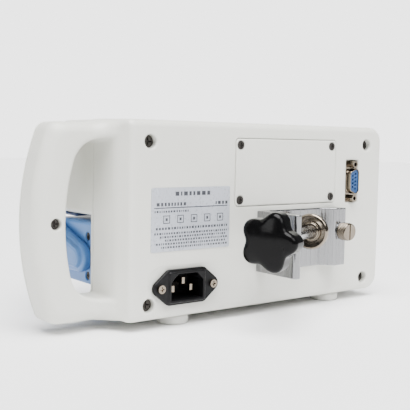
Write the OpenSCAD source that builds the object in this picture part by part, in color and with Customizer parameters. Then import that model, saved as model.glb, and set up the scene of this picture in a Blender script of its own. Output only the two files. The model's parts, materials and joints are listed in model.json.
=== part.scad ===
// Syringe infusion pump with a carrying handle and a rear pole clamp.
// Millimetres. X runs across with the handle at +X, the rear face looks to +Y, Z is up.

/* [Housing] */
// left end of the housing
body_left = -140; // [-150:1:-130]
// right end of the flat rear face
rear_right = 86; // [80:1:90]
// right side of the housing where the handle leaves it
body_right = 93.5; // [90:0.5:96]
// underside of the housing
body_bottom = 6; // [5:0.5:8]
// top of the housing
body_top = 129.5; // [125:0.5:135]
// rear face
rear_y = 25; // [24:0.5:26]
// plane where the two shells meet
split_y = -12; // [-14:0.5:-10]
// corner radius seen from the rear
corner_r = 11; // [8:0.5:14]
// rounding of the rear edge
edge_r = 4; // [2:0.5:6]
// wall thickness
wall = 3; // [2.5:0.1:3.5]
// rear face of the handle
handle_y = 9; // [8:0.5:10]
// front face of the handle
handle_front = -15; // [-16:0.5:-14]
// top of the handle
handle_top = 127; // [126:0.5:128]
// bottom of the handle
handle_bottom = 6.5; // [6:0.5:8]
// radius of the handle's outer bow
bow_r = 160; // [150:1:170]
// centre of the display housing's side, level with the handle's rear
side_x = -28.3; // [-32:0.1:-24]
// angle that the display housing's side leans in at
side_tilt = 25.3; // [22:0.1:28]
// radius of the display housing's side
side_r = 150; // [148:1:152]
// radius of the inner edge of the grip
grip_bow_r = 139.7; // [135:0.1:142]
// centre of both bows along X
bow_x = -20; // [-25:1:-15]
// centre of both bows along Z
bow_z = 66; // [60:1:70]
// left edge of the grip opening
grip_left = 91; // [89:0.5:93]
// lower edge of the grip opening
grip_low = 20; // [18:1:24]
// upper edge of the grip opening
grip_high = 117; // [112:1:119]
// corner radius of the grip opening
grip_r = 9; // [6:0.5:10]

/* [Front] */
// front of the display housing
display_y = -76; // [-80:1:-70]
// underside of the display housing
display_low = 66; // [64:1:70]
// front of the lower block, behind the syringe
block_y = -56; // [-58:0.5:-54]
// right end of the lower block
block_right = 50; // [48:1:52]
// front of the syringe ledge
ledge_y = -84; // [-86:0.5:-82]
// top of the syringe ledge
ledge_top = 28; // [26:0.5:30]
// right end of the syringe ledge
ledge_right = 41; // [38:0.5:42]
// radius of the cradle groove
cradle_r = 16; // [12:0.5:18]
// syringe axis along Y
syringe_y = -72; // [-74:0.5:-70]
// syringe axis along Z
syringe_z = 42; // [40:0.5:44]
// radius of the display housing's lower right corner

/* [Rear fittings] */
// battery door left edge
door_left = -88.5; // [-92:0.5:-85]
// battery door right edge
door_right = 5.4; // [2:0.2:8]
// battery door lower edge
door_low = 74.5; // [72:0.5:78]
// battery door upper edge
door_high = 119; // [116:0.5:121]
// battery door thickness
door_t = 2.8; // [2:0.1:3.5]
// mains inlet centre along X
inlet_x = 45.8; // [44:0.2:48]
// mains inlet centre along Z
inlet_z = 26; // [25:0.5:28]
// spacing of the inlet's screws
inlet_pitch = 40; // [40:1:40]
// serial socket centre along X
serial_x = -106.9; // [-108:0.1:-105]
// serial socket centre along Z
serial_z = 89.3; // [88:0.1:91]
// spacing of the serial jackscrews
serial_pitch = 25; // [25:0.5:25]
// rating label left edge
label_left = 10.3; // [8:0.1:12]
// rating label width
label_w = 61.4; // [58:0.2:64]
// rating label lower edge
label_low = 48.5; // [46:0.5:50]
// rating label height
label_h = 39.6; // [36:0.2:42]
// foot radius
foot_r = 10.5; // [9:0.5:12]

/* [Pole clamp] */
// lower end of the clamp extrusion
clamp_low = 29.7; // [28:0.1:31]
// upper end of the clamp extrusion
clamp_high = 70.9; // [69:0.1:72]
// left end of the clamp extrusion
clamp_left = -90; // [-92:0.5:-88]
// outer face of the clamp arm
arm_x = -14; // [-16:0.5:-12]
// thickness of the clamp arm
arm_t = 6; // [5:0.5:8]
// how far back the arm reaches
arm_y = 63; // [60:0.5:66]
// land beside the V jaw
jaw_y = 35.5; // [34:0.5:37]
// height of the clamp screw's axis
clamp_z = 56.5; // [54:0.5:58]
// tilt of the clamp screw from the rear face
clamp_tilt = 24.2; // [20:0.1:28]
// knob's outer face centre along X
knob_x = 21.44; // [18:0.02:22]
// knob's outer face centre along Y
knob_y = 72.49; // [70:0.01:73]
// knob radius over the lobes
knob_r = 19.2; // [18:0.2:22]
// knob thickness
knob_t = 15; // [12:0.5:18]
// clamp screw radius
clamp_screw_r = 4; // [3:0.5:5]
// distance from the knob's outer face to the pad's middle
pad_reach = 79.9; // [74:0.1:80]
// pad radius
pad_r = 12.4; // [10:0.1:14]

/* [Drive] */
// axis of the drive tube along Y
tube_y = -43; // [-44:0.5:-42]
// axis of the drive tube along Z
tube_z = 40.5; // [39:0.5:42]
// drive tube radius
tube_r = 7; // [6:0.5:8]
// axis of the lead screw along Y
screw_y = -22; // [-23:0.5:-21]
// axis of the lead screw along Z
screw_z = 30; // [29:0.5:31]
// lead screw radius
screw_r = 4; // [3:0.5:5]
// axis of the guide rod along Z
rod_z = 56; // [55:0.5:58]
// guide rod radius
rod_r = 5; // [4:0.5:6]
// teeth on the screw gear
gear_teeth = 45; // [36:3:60]
// gear module
gear_module = 0.83; // [0.5:0.01:1]
// left face of the drive head
head_left = 52; // [51.5:0.1:54]
// right face of the drive head's case
head_mid = 76; // [74:0.5:77]
// right face of the drive head's cover
head_right = 80; // [79:0.5:82]
// rear face of the drive head
head_rear = -21; // [-22:0.5:-20]
// front face of the drive head
head_front = -86; // [-87:0.5:-84]
// underside of the drive head
head_low = 20; // [19:0.5:22]
// top of the drive head
head_high = 62; // [60:0.5:63]

/* [Small parts] */
// width of a key
key_w = 17; // [14:0.5:20]
// height of a key
key_h = 10; // [8:0.5:12]
// clearance round a key
key_gap = 0.4; // [0.3:0.05:0.6]
// running clearance of shafts in bores
run = 0.05; // [0.01:0.01:0.1]
// gap between fixed parts
gap = 0.05; // [0.02:0.01:0.1]
// barrel clamp rod along X
barrel_x = -60; // [-80:1:-40]
// barrel clamp rod along Z
barrel_z = 16.5; // [15:0.5:18]

/* [Hidden] */
$fn = 48;
clamp_d = [-cos(clamp_tilt), -sin(clamp_tilt)];
gear_pitch_r = gear_teeth * gear_module / 2;
pinion_teeth = gear_teeth / 3;
pinion_pitch_r = gear_pitch_r / 3;
pinion_y = screw_y + gear_pitch_r + pinion_pitch_r;
screw_spots = [
  [-122.3, 15.8],
  [72.3, 15.8],
  [-122.3, 116.2],
  [72.3, 116.2]
];
handle_screw = [126.4, 67];
door_spots = [
  [door_left + 4.1, door_low + 4],
  [door_right - 3.8, door_low + 4],
  [door_left + 4.1, door_high - 4.2],
  [door_right - 3.8, door_high - 4.2]
];
foot_spots = [
  [-95, 11],
  [45, 11],
  [-95, -70],
  [28, -70]
];
bracket_spots = [
  [-28, 36],
  [-28, 66],
  [-61, 55.5]
];
key_x = [12, 34, 56, 78];
key_rows = [104, 84];
claw_y = -62;
claw_up_z = 56;
claw_low_z = 26;

// ---- helpers ----
module box(x0, x1, y0, y1, z0, z1)
{
  translate([x0, y0, z0])
    cube([x1 - x0, y1 - y0, z1 - z0]);
}

module cyl_x(y, z, r, x0, x1)
{
  translate([x0, y, z])
    rotate([0, 90, 0])
      cylinder(r = r, h = x1 - x0);
}

module cyl_y(x, z, r, y0, y1)
{
  translate([x, y1, z])
    rotate([90, 0, 0])
      cylinder(r = r, h = y1 - y0);
}

module cyl_z(x, y, r, z0, z1)
{
  translate([x, y, z0])
    cylinder(r = r, h = z1 - z0);
}

// a flat outline in X and Z, thickened from y0 to y1
module thick_y(y0, y1)
{
  translate([0, y1, 0])
    rotate([90, 0, 0])
      linear_extrude(y1 - y0)
        children();
}

// a flat outline in Y and Z, thickened from x0 to x1
module thick_x(x0, x1)
{
  translate([x0, 0, 0])
    rotate([90, 0, 90])
      linear_extrude(x1 - x0)
        children();
}

// rounded rectangle between two corners
module rounded(x0, x1, z0, z1, r)
{
  translate([x0 + r, z0])
    square([x1 - x0 - 2 * r, z1 - z0]);
  translate([x0, z0 + r])
    square([x1 - x0, z1 - z0 - 2 * r]);
  for (x = [x0 + r, x1 - r])
    for (z = [z0 + r, z1 - r])
      translate([x, z])
        circle(r);
}

module spots_y(spots, r, y0, y1)
{
  for (s = spots)
    cyl_y(s[0], s[1], r, y0, y1);
}

// a screw along Y: domed head with a cross recess, and a shank
module screw_y_axis(x, z, head_r, head_y, head_t, shank_r, tip_y)
{
  difference() {
    union() {
      cyl_y(x, z, head_r, head_y, head_y + head_t);
      cyl_y(x, z, shank_r, tip_y, head_y + 0.2);
    }
    box(x - head_r * 0.62, x + head_r * 0.62, head_y + head_t * 0.4, head_y + head_t + 1, z - 0.45, z + 0.45);
    box(x - 0.45, x + 0.45, head_y + head_t * 0.4, head_y + head_t + 1, z - head_r * 0.62, z + head_r * 0.62);
  }
}

// rotates children into the clamp screw's line: local +X runs from the knob to the pad
module on_clamp_axis()
{
  translate([knob_x, knob_y, clamp_z])
    rotate([0, 0, 180 + clamp_tilt])
      children();
}

// ---- outlines ----
// grip opening, grown by o
module grip_outline(o)
{
  r = grip_r + o;
  arc = grip_bow_r + o;
  top = grip_high + o;
  low = grip_low - o;
  left = grip_left - o;
  up_z = top - r;
  low_z = low + r;
  up_x = bow_x + sqrt((arc - r) * (arc - r) - (up_z - bow_z) * (up_z - bow_z));
  low_x = bow_x + sqrt((arc - r) * (arc - r) - (bow_z - low_z) * (bow_z - low_z));
  up_a = atan2(up_z - bow_z, up_x - bow_x);
  low_a = atan2(low_z - bow_z, low_x - bow_x);
  translate([left + r, low])
    square([min(up_x, low_x) - left - r, top - low]);
  translate([left + r, top - 2 * r])
    square([up_x - left - r, 2 * r]);
  translate([left + r, low])
    square([low_x - left - r, 2 * r]);
  translate([left, low + r])
    square([r + 1, top - low - 2 * r]);
  for (p = [[left + r, up_z], [left + r, low_z], [up_x, up_z], [low_x, low_z]])
    translate(p)
      circle(r);
  intersection() {
    translate([bow_x, bow_z])
      circle(arc);
    polygon([
      [left + 5, low_z],
      [low_x, low_z],
      [bow_x + 200 * cos(low_a), bow_z + 200 * sin(low_a)],
      [bow_x + 200 * cos(up_a), bow_z + 200 * sin(up_a)],
      [up_x, up_z],
      [left + 5, up_z]
    ]);
  }
}

// outline of the handle with its bow, shrunk by o
module handle_outline(o)
{
  intersection() {
    translate([bow_x, bow_z])
      circle(bow_r - o);
    translate([80, handle_bottom + o])
      square([80, handle_top - handle_bottom - 2 * o]);
  }
}

// outline of the display housing, shrunk by o
// what the display housing keeps behind the handle's outline, as seen from the rear
module side_cut(o)
{
  translate([side_x, 5, bow_z])
    rotate([0, 0, -side_tilt])
      rotate([90, 0, 0])
        cylinder(r = side_r - o, h = 260, center = true);
}

module display_outline(o)
{
  rounded(body_left + o, 76, display_low + o, body_top - o, 8);
  rounded(body_left + o, body_right - o, 96, body_top - o, 8);
  intersection() {
    translate([bow_x, bow_z])
      circle(bow_r - 3 - o);
    // the lower edge climbs to the handle, then turns up round a big corner
    hull() {
      translate([60, display_low + 12])
        circle(12 - o);
      translate([76.3, display_low + 12])
        circle(12 - o);
      translate([115, 95.3])
        circle(18 - o);
      translate([133, handle_top - 6.5])
        circle(6 - o);
      translate([60, handle_top - 6.5])
        circle(6 - o);
    }
  }
}

// ---- housing ----
// one corner of the rear shell: a disc whose rear edge is rounded
module rear_corner(x, z, y1, round_r)
{
  translate([x, split_y, z])
    rotate([-90, 0, 0])
      rotate_extrude($fn = 32)
        polygon(concat(
          [[0, 0], [corner_r, 0]],
          [for (i = [0:6]) [
            corner_r - round_r + round_r * cos(15 * i),
            y1 - split_y - round_r + round_r * sin(15 * i)
          ]],
          [[0, y1 - split_y]]
        ));
}

module rear_shell()
{
  mid_z = (body_top + body_bottom) / 2;
  color("#dfdfda")
  difference() {
    union() {
      difference() {
        union() {
          hull() {
            for (z = [body_bottom + corner_r, body_top - corner_r]) {
              rear_corner(body_left + corner_r, z, rear_y, edge_r);
              rear_corner(rear_right - corner_r, z, rear_y, edge_r);
              rear_corner(body_right - corner_r, z, 8, 1);
            }
          }
          intersection() {
            translate([bow_x, split_y, bow_z])
              rotate([-90, 0, 0])
                rotate_extrude($fn = 96)
                  union() {
                    square([bow_r - 10, handle_y - split_y]);
                    square([bow_r, handle_y - split_y - 10]);
                    translate([bow_r - 10, handle_y - split_y - 10])
                      circle(10);
                  }
            box(80, 150, split_y, handle_y, handle_bottom, handle_top);
          }
        }
        // main cavity
        thick_y(split_y - 1, rear_y - wall)
          rounded(body_left + wall, rear_right - wall, body_bottom + wall, body_top - wall, corner_r - wall);
        // hollow of the handle
        thick_y(split_y - 1, handle_y - wall)
          difference() {
            handle_outline(wall);
            grip_outline(wall);
            translate([70, 0])
              square([body_right - 70, 140]);
          }
      }
      // screw towers
      spots_y(screw_spots, 6.5, split_y, rear_y - wall + 0.5);
      cyl_y(handle_screw[0], handle_screw[1], 5, -5, handle_y - wall + 0.5);
      // bosses for the feet
      for (s = [foot_spots[0], foot_spots[1]])
        cyl_z(s[0], s[1], 4.5, body_bottom + 1, 14);
      // seat behind the battery door
      thick_y(rear_y - door_t - 3.3, rear_y - 1)
        rounded(door_left - 3, door_right + 3, door_low - 3, door_high + 3, 4);
    }
    // handle opening
    thick_y(split_y - 1, handle_y + 1)
      grip_outline(0);
    // screw recesses
    spots_y(screw_spots, 4.3, 18.4, rear_y + 1);
    spots_y(screw_spots, 2.2, split_y - 1, 19);
    cyl_y(handle_screw[0], handle_screw[1], 3.5, 3.2, handle_y + 1);
    cyl_y(handle_screw[0], handle_screw[1], 2.2, -6, 4);
    // battery door recess and the compartment's mouth
    thick_y(rear_y - door_t, rear_y + 1)
      rounded(door_left - 0.3, door_right + 0.3, door_low - 0.3, door_high + 0.3, 2.8);
    thick_y(rear_y - door_t - 5, rear_y)
      rounded(door_left + 9, door_right - 9, door_low + 3, door_high - 3, 2);
    spots_y(door_spots, 1.5, rear_y - door_t - 3, rear_y);
    // mains inlet cut-out and its screw holes
    thick_y(rear_y - wall - 1, rear_y + 1)
      rounded(inlet_x - 13.9, inlet_x + 13.9, inlet_z - 10.1, inlet_z + 10.1, 2);
    for (s = [-1, 1])
      cyl_y(inlet_x + s * inlet_pitch / 2, inlet_z, 1.6, rear_y - wall - 1, rear_y + 1);
    // serial window
    thick_y(rear_y - wall + 0.6, rear_y + 1)
      rounded(serial_x - 6.6, serial_x + 6.6, serial_z - 15.7, serial_z + 15.7, 0.8);
    thick_y(rear_y - wall - 1, rear_y)
      rounded(serial_x - 5.2, serial_x + 5.2, serial_z - 9.4, serial_z + 9.4, 1);
    for (s = [-1, 1])
      cyl_y(serial_x, serial_z + s * serial_pitch / 2, 1.9, rear_y - wall - 1, rear_y);
    // holes for the pole clamp's screws
    spots_y(bracket_spots, 2.1, rear_y - wall - 1, rear_y + 1);
    // holes for the rear feet
    for (s = [foot_spots[0], foot_spots[1]])
      cyl_z(s[0], s[1], 2.02, body_bottom - 1, 13);
  }
}

module front_shell()
{
  color("#e2e2dd")
  difference() {
    union() {
      difference() {
        union() {
          intersection() {
            thick_y(display_y, split_y)
              display_outline(0);
            side_cut(0);
          }
          // lower block
          thick_y(block_y, split_y)
            union() {
              rounded(body_left, block_right, body_bottom, display_low + 20, corner_r);
              translate([0, body_bottom])
                square([block_right, 30]);
            }
          // ledge under the syringe
          thick_y(ledge_y, block_y + 1)
            union() {
              rounded(body_left, ledge_right, body_bottom, ledge_top, 8);
              translate([body_left, ledge_top - 10])
                square([ledge_right - body_left, 10]);
            }
          // rack for the barrel flange
          box(25, ledge_right, ledge_y, block_y + 1, 20, 38);
        }
        // inside of the display housing, left and right of the finger pocket
        difference() {
          intersection() {
            thick_y(display_y + wall, split_y + 1)
              display_outline(wall);
            side_cut(wall);
          }
          thick_y(-31, split_y + 2)
            grip_outline(wall);
        }
        // inside of the lower block
        thick_y(block_y + wall, split_y + 1)
          rounded(body_left + wall, block_right - wall, body_bottom + wall, display_low + 12, corner_r - wall);
        // inside of the ledge
        box(body_left + 8, ledge_right - wall, ledge_y + wall, block_y + wall + 1, body_bottom + wall, 23);
        // groove for the barrel
        cyl_x(syringe_y, syringe_z, cradle_r, body_left - 1, ledge_right + 1);
        // slot for the barrel flange
        box(31, 35.6, ledge_y - 1, block_y, 25.5, 60);
      }
      // rear wall of the bay beside the drive head
      thick_y(handle_front, split_y)
        difference() {
          rounded(40, body_right, body_bottom, display_low + 20, corner_r);
          grip_outline(0);
          translate([30, 0])
            square([17, 100]);
        }
      // front half of the handle
      thick_y(handle_front, split_y)
        difference() {
          handle_outline(0);
          grip_outline(0);
          translate([70, 0])
            square([body_right - 74, 140]);
        }
      // screw columns
      cyl_y(screw_spots[0][0], screw_spots[0][1], 5, ledge_y + 2, split_y);
      cyl_y(screw_spots[1][0], screw_spots[1][1], 5, -18.5, split_y);
      cyl_y(screw_spots[2][0], screw_spots[2][1], 5, display_y + 2, split_y);
      cyl_y(screw_spots[3][0], screw_spots[3][1], 5, display_y + 2, split_y);
      cyl_y(handle_screw[0], handle_screw[1], 3.6, handle_front, -5.3);
      // bosses for the front feet and the barrel clamp's rod
      for (s = [foot_spots[2], foot_spots[3]])
        cyl_z(s[0], s[1], 4.5, body_bottom + 1, 14);
      cyl_y(barrel_x, barrel_z, 7, ledge_y + 1, ledge_y + 7);
    }
    // finger pocket behind the display housing
    thick_y(-28, split_y + 1)
      grip_outline(0);
    // screw holes
    spots_y(screw_spots, 2.02, -17, split_y + 1);
    cyl_y(handle_screw[0], handle_screw[1], 2.02, -14, -5);
    for (s = [foot_spots[2], foot_spots[3]])
      cyl_z(s[0], s[1], 2.02, body_bottom - 1, 13);
    // display and key openings
    thick_y(display_y - 1, display_y + wall + 1)
      rounded(-97, -5, 81, 119, 2);
    for (x = key_x)
      for (z = key_rows)
        thick_y(display_y - 1, display_y + wall + 1)
          rounded(x - key_w / 2 - key_gap, x + key_w / 2 + key_gap, z - key_h / 2 - key_gap, z + key_h / 2 + key_gap, 3);
    // drive tube bushing
    cyl_x(tube_y, tube_z, 10 + gap, block_right - wall - 1, block_right + 1);
    // barrel clamp rod
    cyl_y(barrel_x, barrel_z, 4 + run, ledge_y - 1, ledge_y + 8);
  }
}

module front_fascia()
{
  color("#23365e")
  difference() {
    union() {
      thick_y(display_y - 3, display_y - gap)
        difference() {
          union() {
            intersection() {
              display_outline(3.5);
              translate([side_x - 83 * tan(side_tilt), bow_z])
                scale([1 / cos(side_tilt), 1])
                  circle(side_r - 3.5);
            }
            translate([-120, display_low - 2.4])
              square([196, 12]);
          }
        }
      box(-60, 76, display_y - 3, -62, display_low - 2.4, display_low - 0.2);
    }
    thick_y(display_y - 4, display_y + 1)
      rounded(-97, -5, 81, 119, 2);
    for (x = key_x)
      for (z = key_rows)
        thick_y(display_y - 4, display_y + 1)
          rounded(x - key_w / 2 - key_gap, x + key_w / 2 + key_gap, z - key_h / 2 - key_gap, z + key_h / 2 + key_gap, 3);
  }
}

module display_window()
{
  color("#5c6a70", 0.5)
  thick_y(display_y - 2.6, display_y - 0.6)
    rounded(-96.9, -5.1, 81.1, 118.9, 1.9);
}

module lcd_module()
{
  color("#2d3a33")
  union() {
    box(-96, -6, display_y - 0.5, display_y + 4, 82, 118);
    box(-102, 0, display_y + wall + gap, display_y + 6.5, 78, 122);
  }
}

module keypad_board()
{
  color("#2f6b3f")
  union() {
    box(2, 88, -70.4, -68.8, 78.5, 110.5);
    for (x = key_x)
      for (z = key_rows)
        cyl_y(x, z, 3, -70.9, -70.2);
  }
}

module key_cap(x, z, c)
{
  color(c)
  union() {
    thick_y(-80.4, -72.9)
      rounded(x - key_w / 2, x + key_w / 2, z - key_h / 2, z + key_h / 2, 2.6);
    thick_y(-72.95, -71.9)
      rounded(x - key_w / 2 - 1.4, x + key_w / 2 + 1.4, z - key_h / 2 - 1.4, z + key_h / 2 + 1.4, 3);
  }
}

module key_start()
{
  key_cap(key_x[0], key_rows[0], "#3c9a52");
}

module key_hold()
{
  key_cap(key_x[0], key_rows[1], "#c9a23a");
}

module key_bolus()
{
  key_cap(key_x[1], key_rows[0], "#4d7fb8");
}

module key_mute()
{
  key_cap(key_x[1], key_rows[1], "#8a8f96");
}

module key_fast_up()
{
  key_cap(key_x[2], key_rows[0], "#d9dbdc");
}

module key_up()
{
  key_cap(key_x[3], key_rows[0], "#d9dbdc");
}

module key_fast_down()
{
  key_cap(key_x[2], key_rows[1], "#d9dbdc");
}

module key_down()
{
  key_cap(key_x[3], key_rows[1], "#d9dbdc");
}

module main_board()
{
  color("#27603a")
  union() {
    box(-108, 60, -62, -60.4, 74, 124);
    box(-70, -46, -60.5, -57.9, 90, 114);
    box(-34, -16, -60.5, -58.4, 94, 106);
    box(0, 12, -60.5, -58.4, 96, 116);
    box(26, 50, -60.5, -52, 80, 88);
    box(-100, -80, -60.5, -52, 78, 86);
    cyl_y(30, 104, 5, -60.5, -50);
    cyl_y(44, 104, 5, -60.5, -50);
  }
}

module power_board()
{
  color("#2b5f38")
  union() {
    box(10, 80, -8, -6.4, 56, 108);
    box(16, 44, -6.5, 14, 66, 92);
    box(50, 58, -6.5, 12, 60, 100);
    cyl_y(22, 100, 6, -6.5, 12);
    cyl_y(70, 94, 6, -6.5, 14);
    box(62, 76, -6.5, 10, 66, 82);
  }
}

module battery_pack()
{
  color("#3a6ea8")
  union() {
    for (i = [0:3])
      cyl_z(-67.3 + 17.2 * i, 11, 8.5, door_low + 5, door_high - 5);
    box(-73, -10, 4.5, 17.5, door_low + 5.6, door_high - 5.6);
  }
}

module battery_door()
{
  color("#dfdfda")
  difference() {
    thick_y(rear_y - door_t + gap, rear_y + 0.3)
      rounded(door_left, door_right, door_low, door_high, 2.5);
    spots_y(door_spots, 3, rear_y - 1.2, rear_y + 1);
    spots_y(door_spots, 1.7, rear_y - door_t - 1, rear_y + 1);
  }
}

module battery_door_screws()
{
  color("#b9babb")
  for (s = door_spots)
    screw_y_axis(s[0], s[1], 2.7, rear_y - 1.2, 1.6, 1.45, rear_y - door_t - 2.8);
}

module housing_screws()
{
  color("#8d8f92")
  union() {
    for (s = screw_spots)
      screw_y_axis(s[0], s[1], 3.9, 18.4, 2.6, 2, -16);
    screw_y_axis(handle_screw[0], handle_screw[1], 3.2, 3.2, 2.2, 2, -13.5);
  }
}

module feet()
{
  color("#d8d8d2")
  difference() {
    for (s = foot_spots) {
      cyl_z(s[0], s[1], foot_r - 1, 0, 1);
      cyl_z(s[0], s[1], foot_r, 0.8, body_bottom);
    }
    for (s = foot_spots) {
      cyl_z(s[0], s[1], 4.2, -1, 3.4);
      cyl_z(s[0], s[1], 2.1, 3, body_bottom + 1);
    }
  }
}

module foot_screws()
{
  color("#9a9c9f")
  for (s = foot_spots) {
    cyl_z(s[0], s[1], 3.8, 1.4, 3.4);
    cyl_z(s[0], s[1], 2, 3.3, 12.5);
  }
}

// ---- rear fittings ----
module inlet_body()
{
  color("#1b1b1d")
  difference() {
    union() {
      thick_y(rear_y + gap, rear_y + 3)
        union() {
          polygon([
            [inlet_x - 14, inlet_z - 11.3],
            [inlet_x + 14, inlet_z - 11.3],
            [inlet_x + 24, inlet_z - 3.8],
            [inlet_x + 24, inlet_z + 3.8],
            [inlet_x + 14, inlet_z + 11.3],
            [inlet_x - 14, inlet_z + 11.3],
            [inlet_x - 24, inlet_z + 3.8],
            [inlet_x - 24, inlet_z - 3.8]
          ]);
          for (s = [-1, 1])
            translate([inlet_x + s * inlet_pitch / 2, inlet_z])
              circle(5);
        }
      thick_y(rear_y + 2, rear_y + 4)
        rounded(inlet_x - 14, inlet_x + 14, inlet_z - 9.8, inlet_z + 9.8, 1.5);
      thick_y(3, rear_y + 2)
        rounded(inlet_x - 13.6, inlet_x + 13.6, inlet_z - 9.8, inlet_z + 9.8, 1.5);
    }
    // socket mouth with two cut corners
    thick_y(11, rear_y + 5)
      polygon([
        [inlet_x - 12.2, inlet_z - 8.2],
        [inlet_x + 12.2, inlet_z - 8.2],
        [inlet_x + 12.2, inlet_z + 3.4],
        [inlet_x + 7.4, inlet_z + 8.2],
        [inlet_x - 7.4, inlet_z + 8.2],
        [inlet_x - 12.2, inlet_z + 3.4]
      ]);
    for (s = [-1, 1])
      cyl_y(inlet_x + s * inlet_pitch / 2, inlet_z, 1.7, rear_y - 1, rear_y + 4);
    for (s = [-7, 7])
      box(inlet_x + s - 1.02, inlet_x + s + 1.02, 0, 12, inlet_z - 4.02, inlet_z + 0.02);
    box(inlet_x - 1.02, inlet_x + 1.02, 0, 12, inlet_z + 0.98, inlet_z + 5.02);
  }
}

module inlet_pins()
{
  color("#b6b09e")
  union() {
    for (s = [-7, 7])
      box(inlet_x + s - 1, inlet_x + s + 1, -4, 22.6, inlet_z - 4, inlet_z);
    box(inlet_x - 1, inlet_x + 1, -4, 23.8, inlet_z + 1, inlet_z + 5);
  }
}

module inlet_screws()
{
  color("#c3c4c6")
  for (s = [-1, 1])
    screw_y_axis(inlet_x + s * inlet_pitch / 2, inlet_z, 2.6, rear_y + 3 + gap, 1.7, 1.55, rear_y - 7);
}

// D outline of the serial socket, standing on end, grown by o
module d_outline(o)
{
  polygon([
    [serial_x - 4 - o, serial_z - 8.5 - o],
    [serial_x + 4 + o, serial_z - 7.1 - o],
    [serial_x + 4 + o, serial_z + 7.1 + o],
    [serial_x - 4 - o, serial_z + 8.5 + o]
  ]);
}

module serial_shell()
{
  color("#a79f8e")
  difference() {
    union() {
      thick_y(rear_y - wall + 0.75, rear_y - wall + 1.9)
        rounded(serial_x - 6.25, serial_x + 6.25, serial_z - 15.4, serial_z + 15.4, 1.6);
      thick_y(rear_y - wall + 1, rear_y + 3)
        d_outline(0.8);
    }
    thick_y(rear_y - wall - 1, rear_y + 4)
      d_outline(0.2);
    for (s = [-1, 1])
      cyl_y(serial_x, serial_z + s * serial_pitch / 2, 1.9, rear_y - wall - 1, rear_y + 3);
  }
}

module serial_insert()
{
  color("#2c4a86")
  difference() {
    union() {
      thick_y(rear_y - wall + 0.7, rear_y + 2.4)
        d_outline(0.15);
      thick_y(10, rear_y - wall + 0.72)
        rounded(serial_x - 5, serial_x + 5, serial_z - 9.2, serial_z + 9.2, 1);
    }
    for (i = [-2:2])
      cyl_y(serial_x - 1.42, serial_z + 2.74 * i, 0.6, rear_y - 5, rear_y + 3);
    for (i = [-1.5:1:1.5])
      cyl_y(serial_x + 1.42, serial_z + 2.74 * i, 0.6, rear_y - 5, rear_y + 3);
  }
}

module serial_jackscrews()
{
  color("#b3aa97")
  for (s = [-1, 1])
    difference() {
      union() {
        translate([serial_x, rear_y + 3.2, serial_z + s * serial_pitch / 2])
          rotate([90, 0, 0])
            cylinder(r = 2.75, h = 5.1 + wall - 3.85, $fn = 6);
        cyl_y(serial_x, serial_z + s * serial_pitch / 2, 1.5, rear_y - 7, rear_y - 1);
      }
      cyl_y(serial_x, serial_z + s * serial_pitch / 2, 1.4, rear_y - 1, rear_y + 4);
    }
}

module rating_label()
{
  color("#c9cfdc")
  thick_y(rear_y + gap, rear_y + 0.35)
    rounded(label_left, label_left + label_w, label_low, label_low + label_h, 1);
}

// ---- pole clamp ----
module clamp_bracket()
{
  color("#c4c5c6")
  difference() {
    translate([0, 0, clamp_low])
      linear_extrude(clamp_high - clamp_low)
        union() {
          polygon([
            [clamp_left, rear_y + gap],
            [arm_x, rear_y + gap],
            [arm_x, arm_y - 3],
            [arm_x - arm_t, arm_y - 3],
            [arm_x - arm_t, rear_y + 6],
            [arm_x - arm_t - 3.5, rear_y + 2.5],
            [-72, rear_y + 2.5],
            [-80, jaw_y],
            [clamp_left, jaw_y]
          ]);
          translate([arm_x - arm_t / 2, arm_y - 3])
            circle(3);
        }
    // tilted hole for the clamp screw
    on_clamp_axis()
      rotate([0, 90, 0])
        translate([0, 0, 25])
          cylinder(r = clamp_screw_r + run, h = 25);
    // threaded hole for the thumbscrew and holes for the fixing screws
    cyl_y(-84.7, 54.5, 3 + run, rear_y + 0.8, jaw_y + 1);
    spots_y(bracket_spots, 2.15, rear_y - 1, rear_y + 4);
  }
}

module clamp_bracket_screws()
{
  color("#a9abad")
  for (s = bracket_spots)
    screw_y_axis(s[0], s[1], 3.6, rear_y + 2.5 + gap, 2, 2, rear_y - 9);
}

module clamp_screw()
{
  color("#b9babb")
  on_clamp_axis()
    rotate([0, 90, 0])
      translate([0, 0, 6])
        cylinder(r = clamp_screw_r, h = pad_reach - 6);
}

module clamp_knob()
{
  color("#18181a")
  on_clamp_axis()
    rotate([0, 90, 0])
      difference() {
        union() {
          linear_extrude(knob_t)
            union() {
              circle(knob_r * 0.74);
              for (i = [0:4])
                rotate([0, 0, 270 + 72 * i])
                  translate([knob_r * 0.62, 0])
                    circle(knob_r * 0.38);
            }
          cylinder(r = 9, h = knob_t + 5);
        }
        translate([0, 0, 5.5])
          cylinder(r = clamp_screw_r + gap, h = 30);
      }
}

module clamp_pad()
{
  color("#c2c0ba")
  on_clamp_axis()
    rotate([0, 90, 0])
      difference() {
        translate([0, 0, pad_reach - 4])
          union() {
            cylinder(r = pad_r, h = 5);
            translate([0, 0, 4.9])
              cylinder(r = pad_r - 1.6, h = 1.6);
          }
        translate([0, 0, pad_reach - 5])
          difference() {
            cylinder(r = pad_r - 2.2, h = 3.4);
            cylinder(r = clamp_screw_r + 2.4, h = 4);
          }
        translate([0, 0, pad_reach - 6])
          cylinder(r = clamp_screw_r + run, h = 6 + run);
      }
}

module thumbscrew()
{
  color("#bdb8ac")
  union() {
    thick_y(jaw_y + 1.6, jaw_y + 9.5)
      translate([-84.7, 54.5])
        union() {
          circle(6.2);
          for (a = [0:15:345])
            rotate([0, 0, a])
              translate([6.1, 0])
                circle(0.5, $fn = 8);
        }
    cyl_y(-84.7, 54.5, 3, rear_y + 1.3, jaw_y + 1.7);
  }
}

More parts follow.
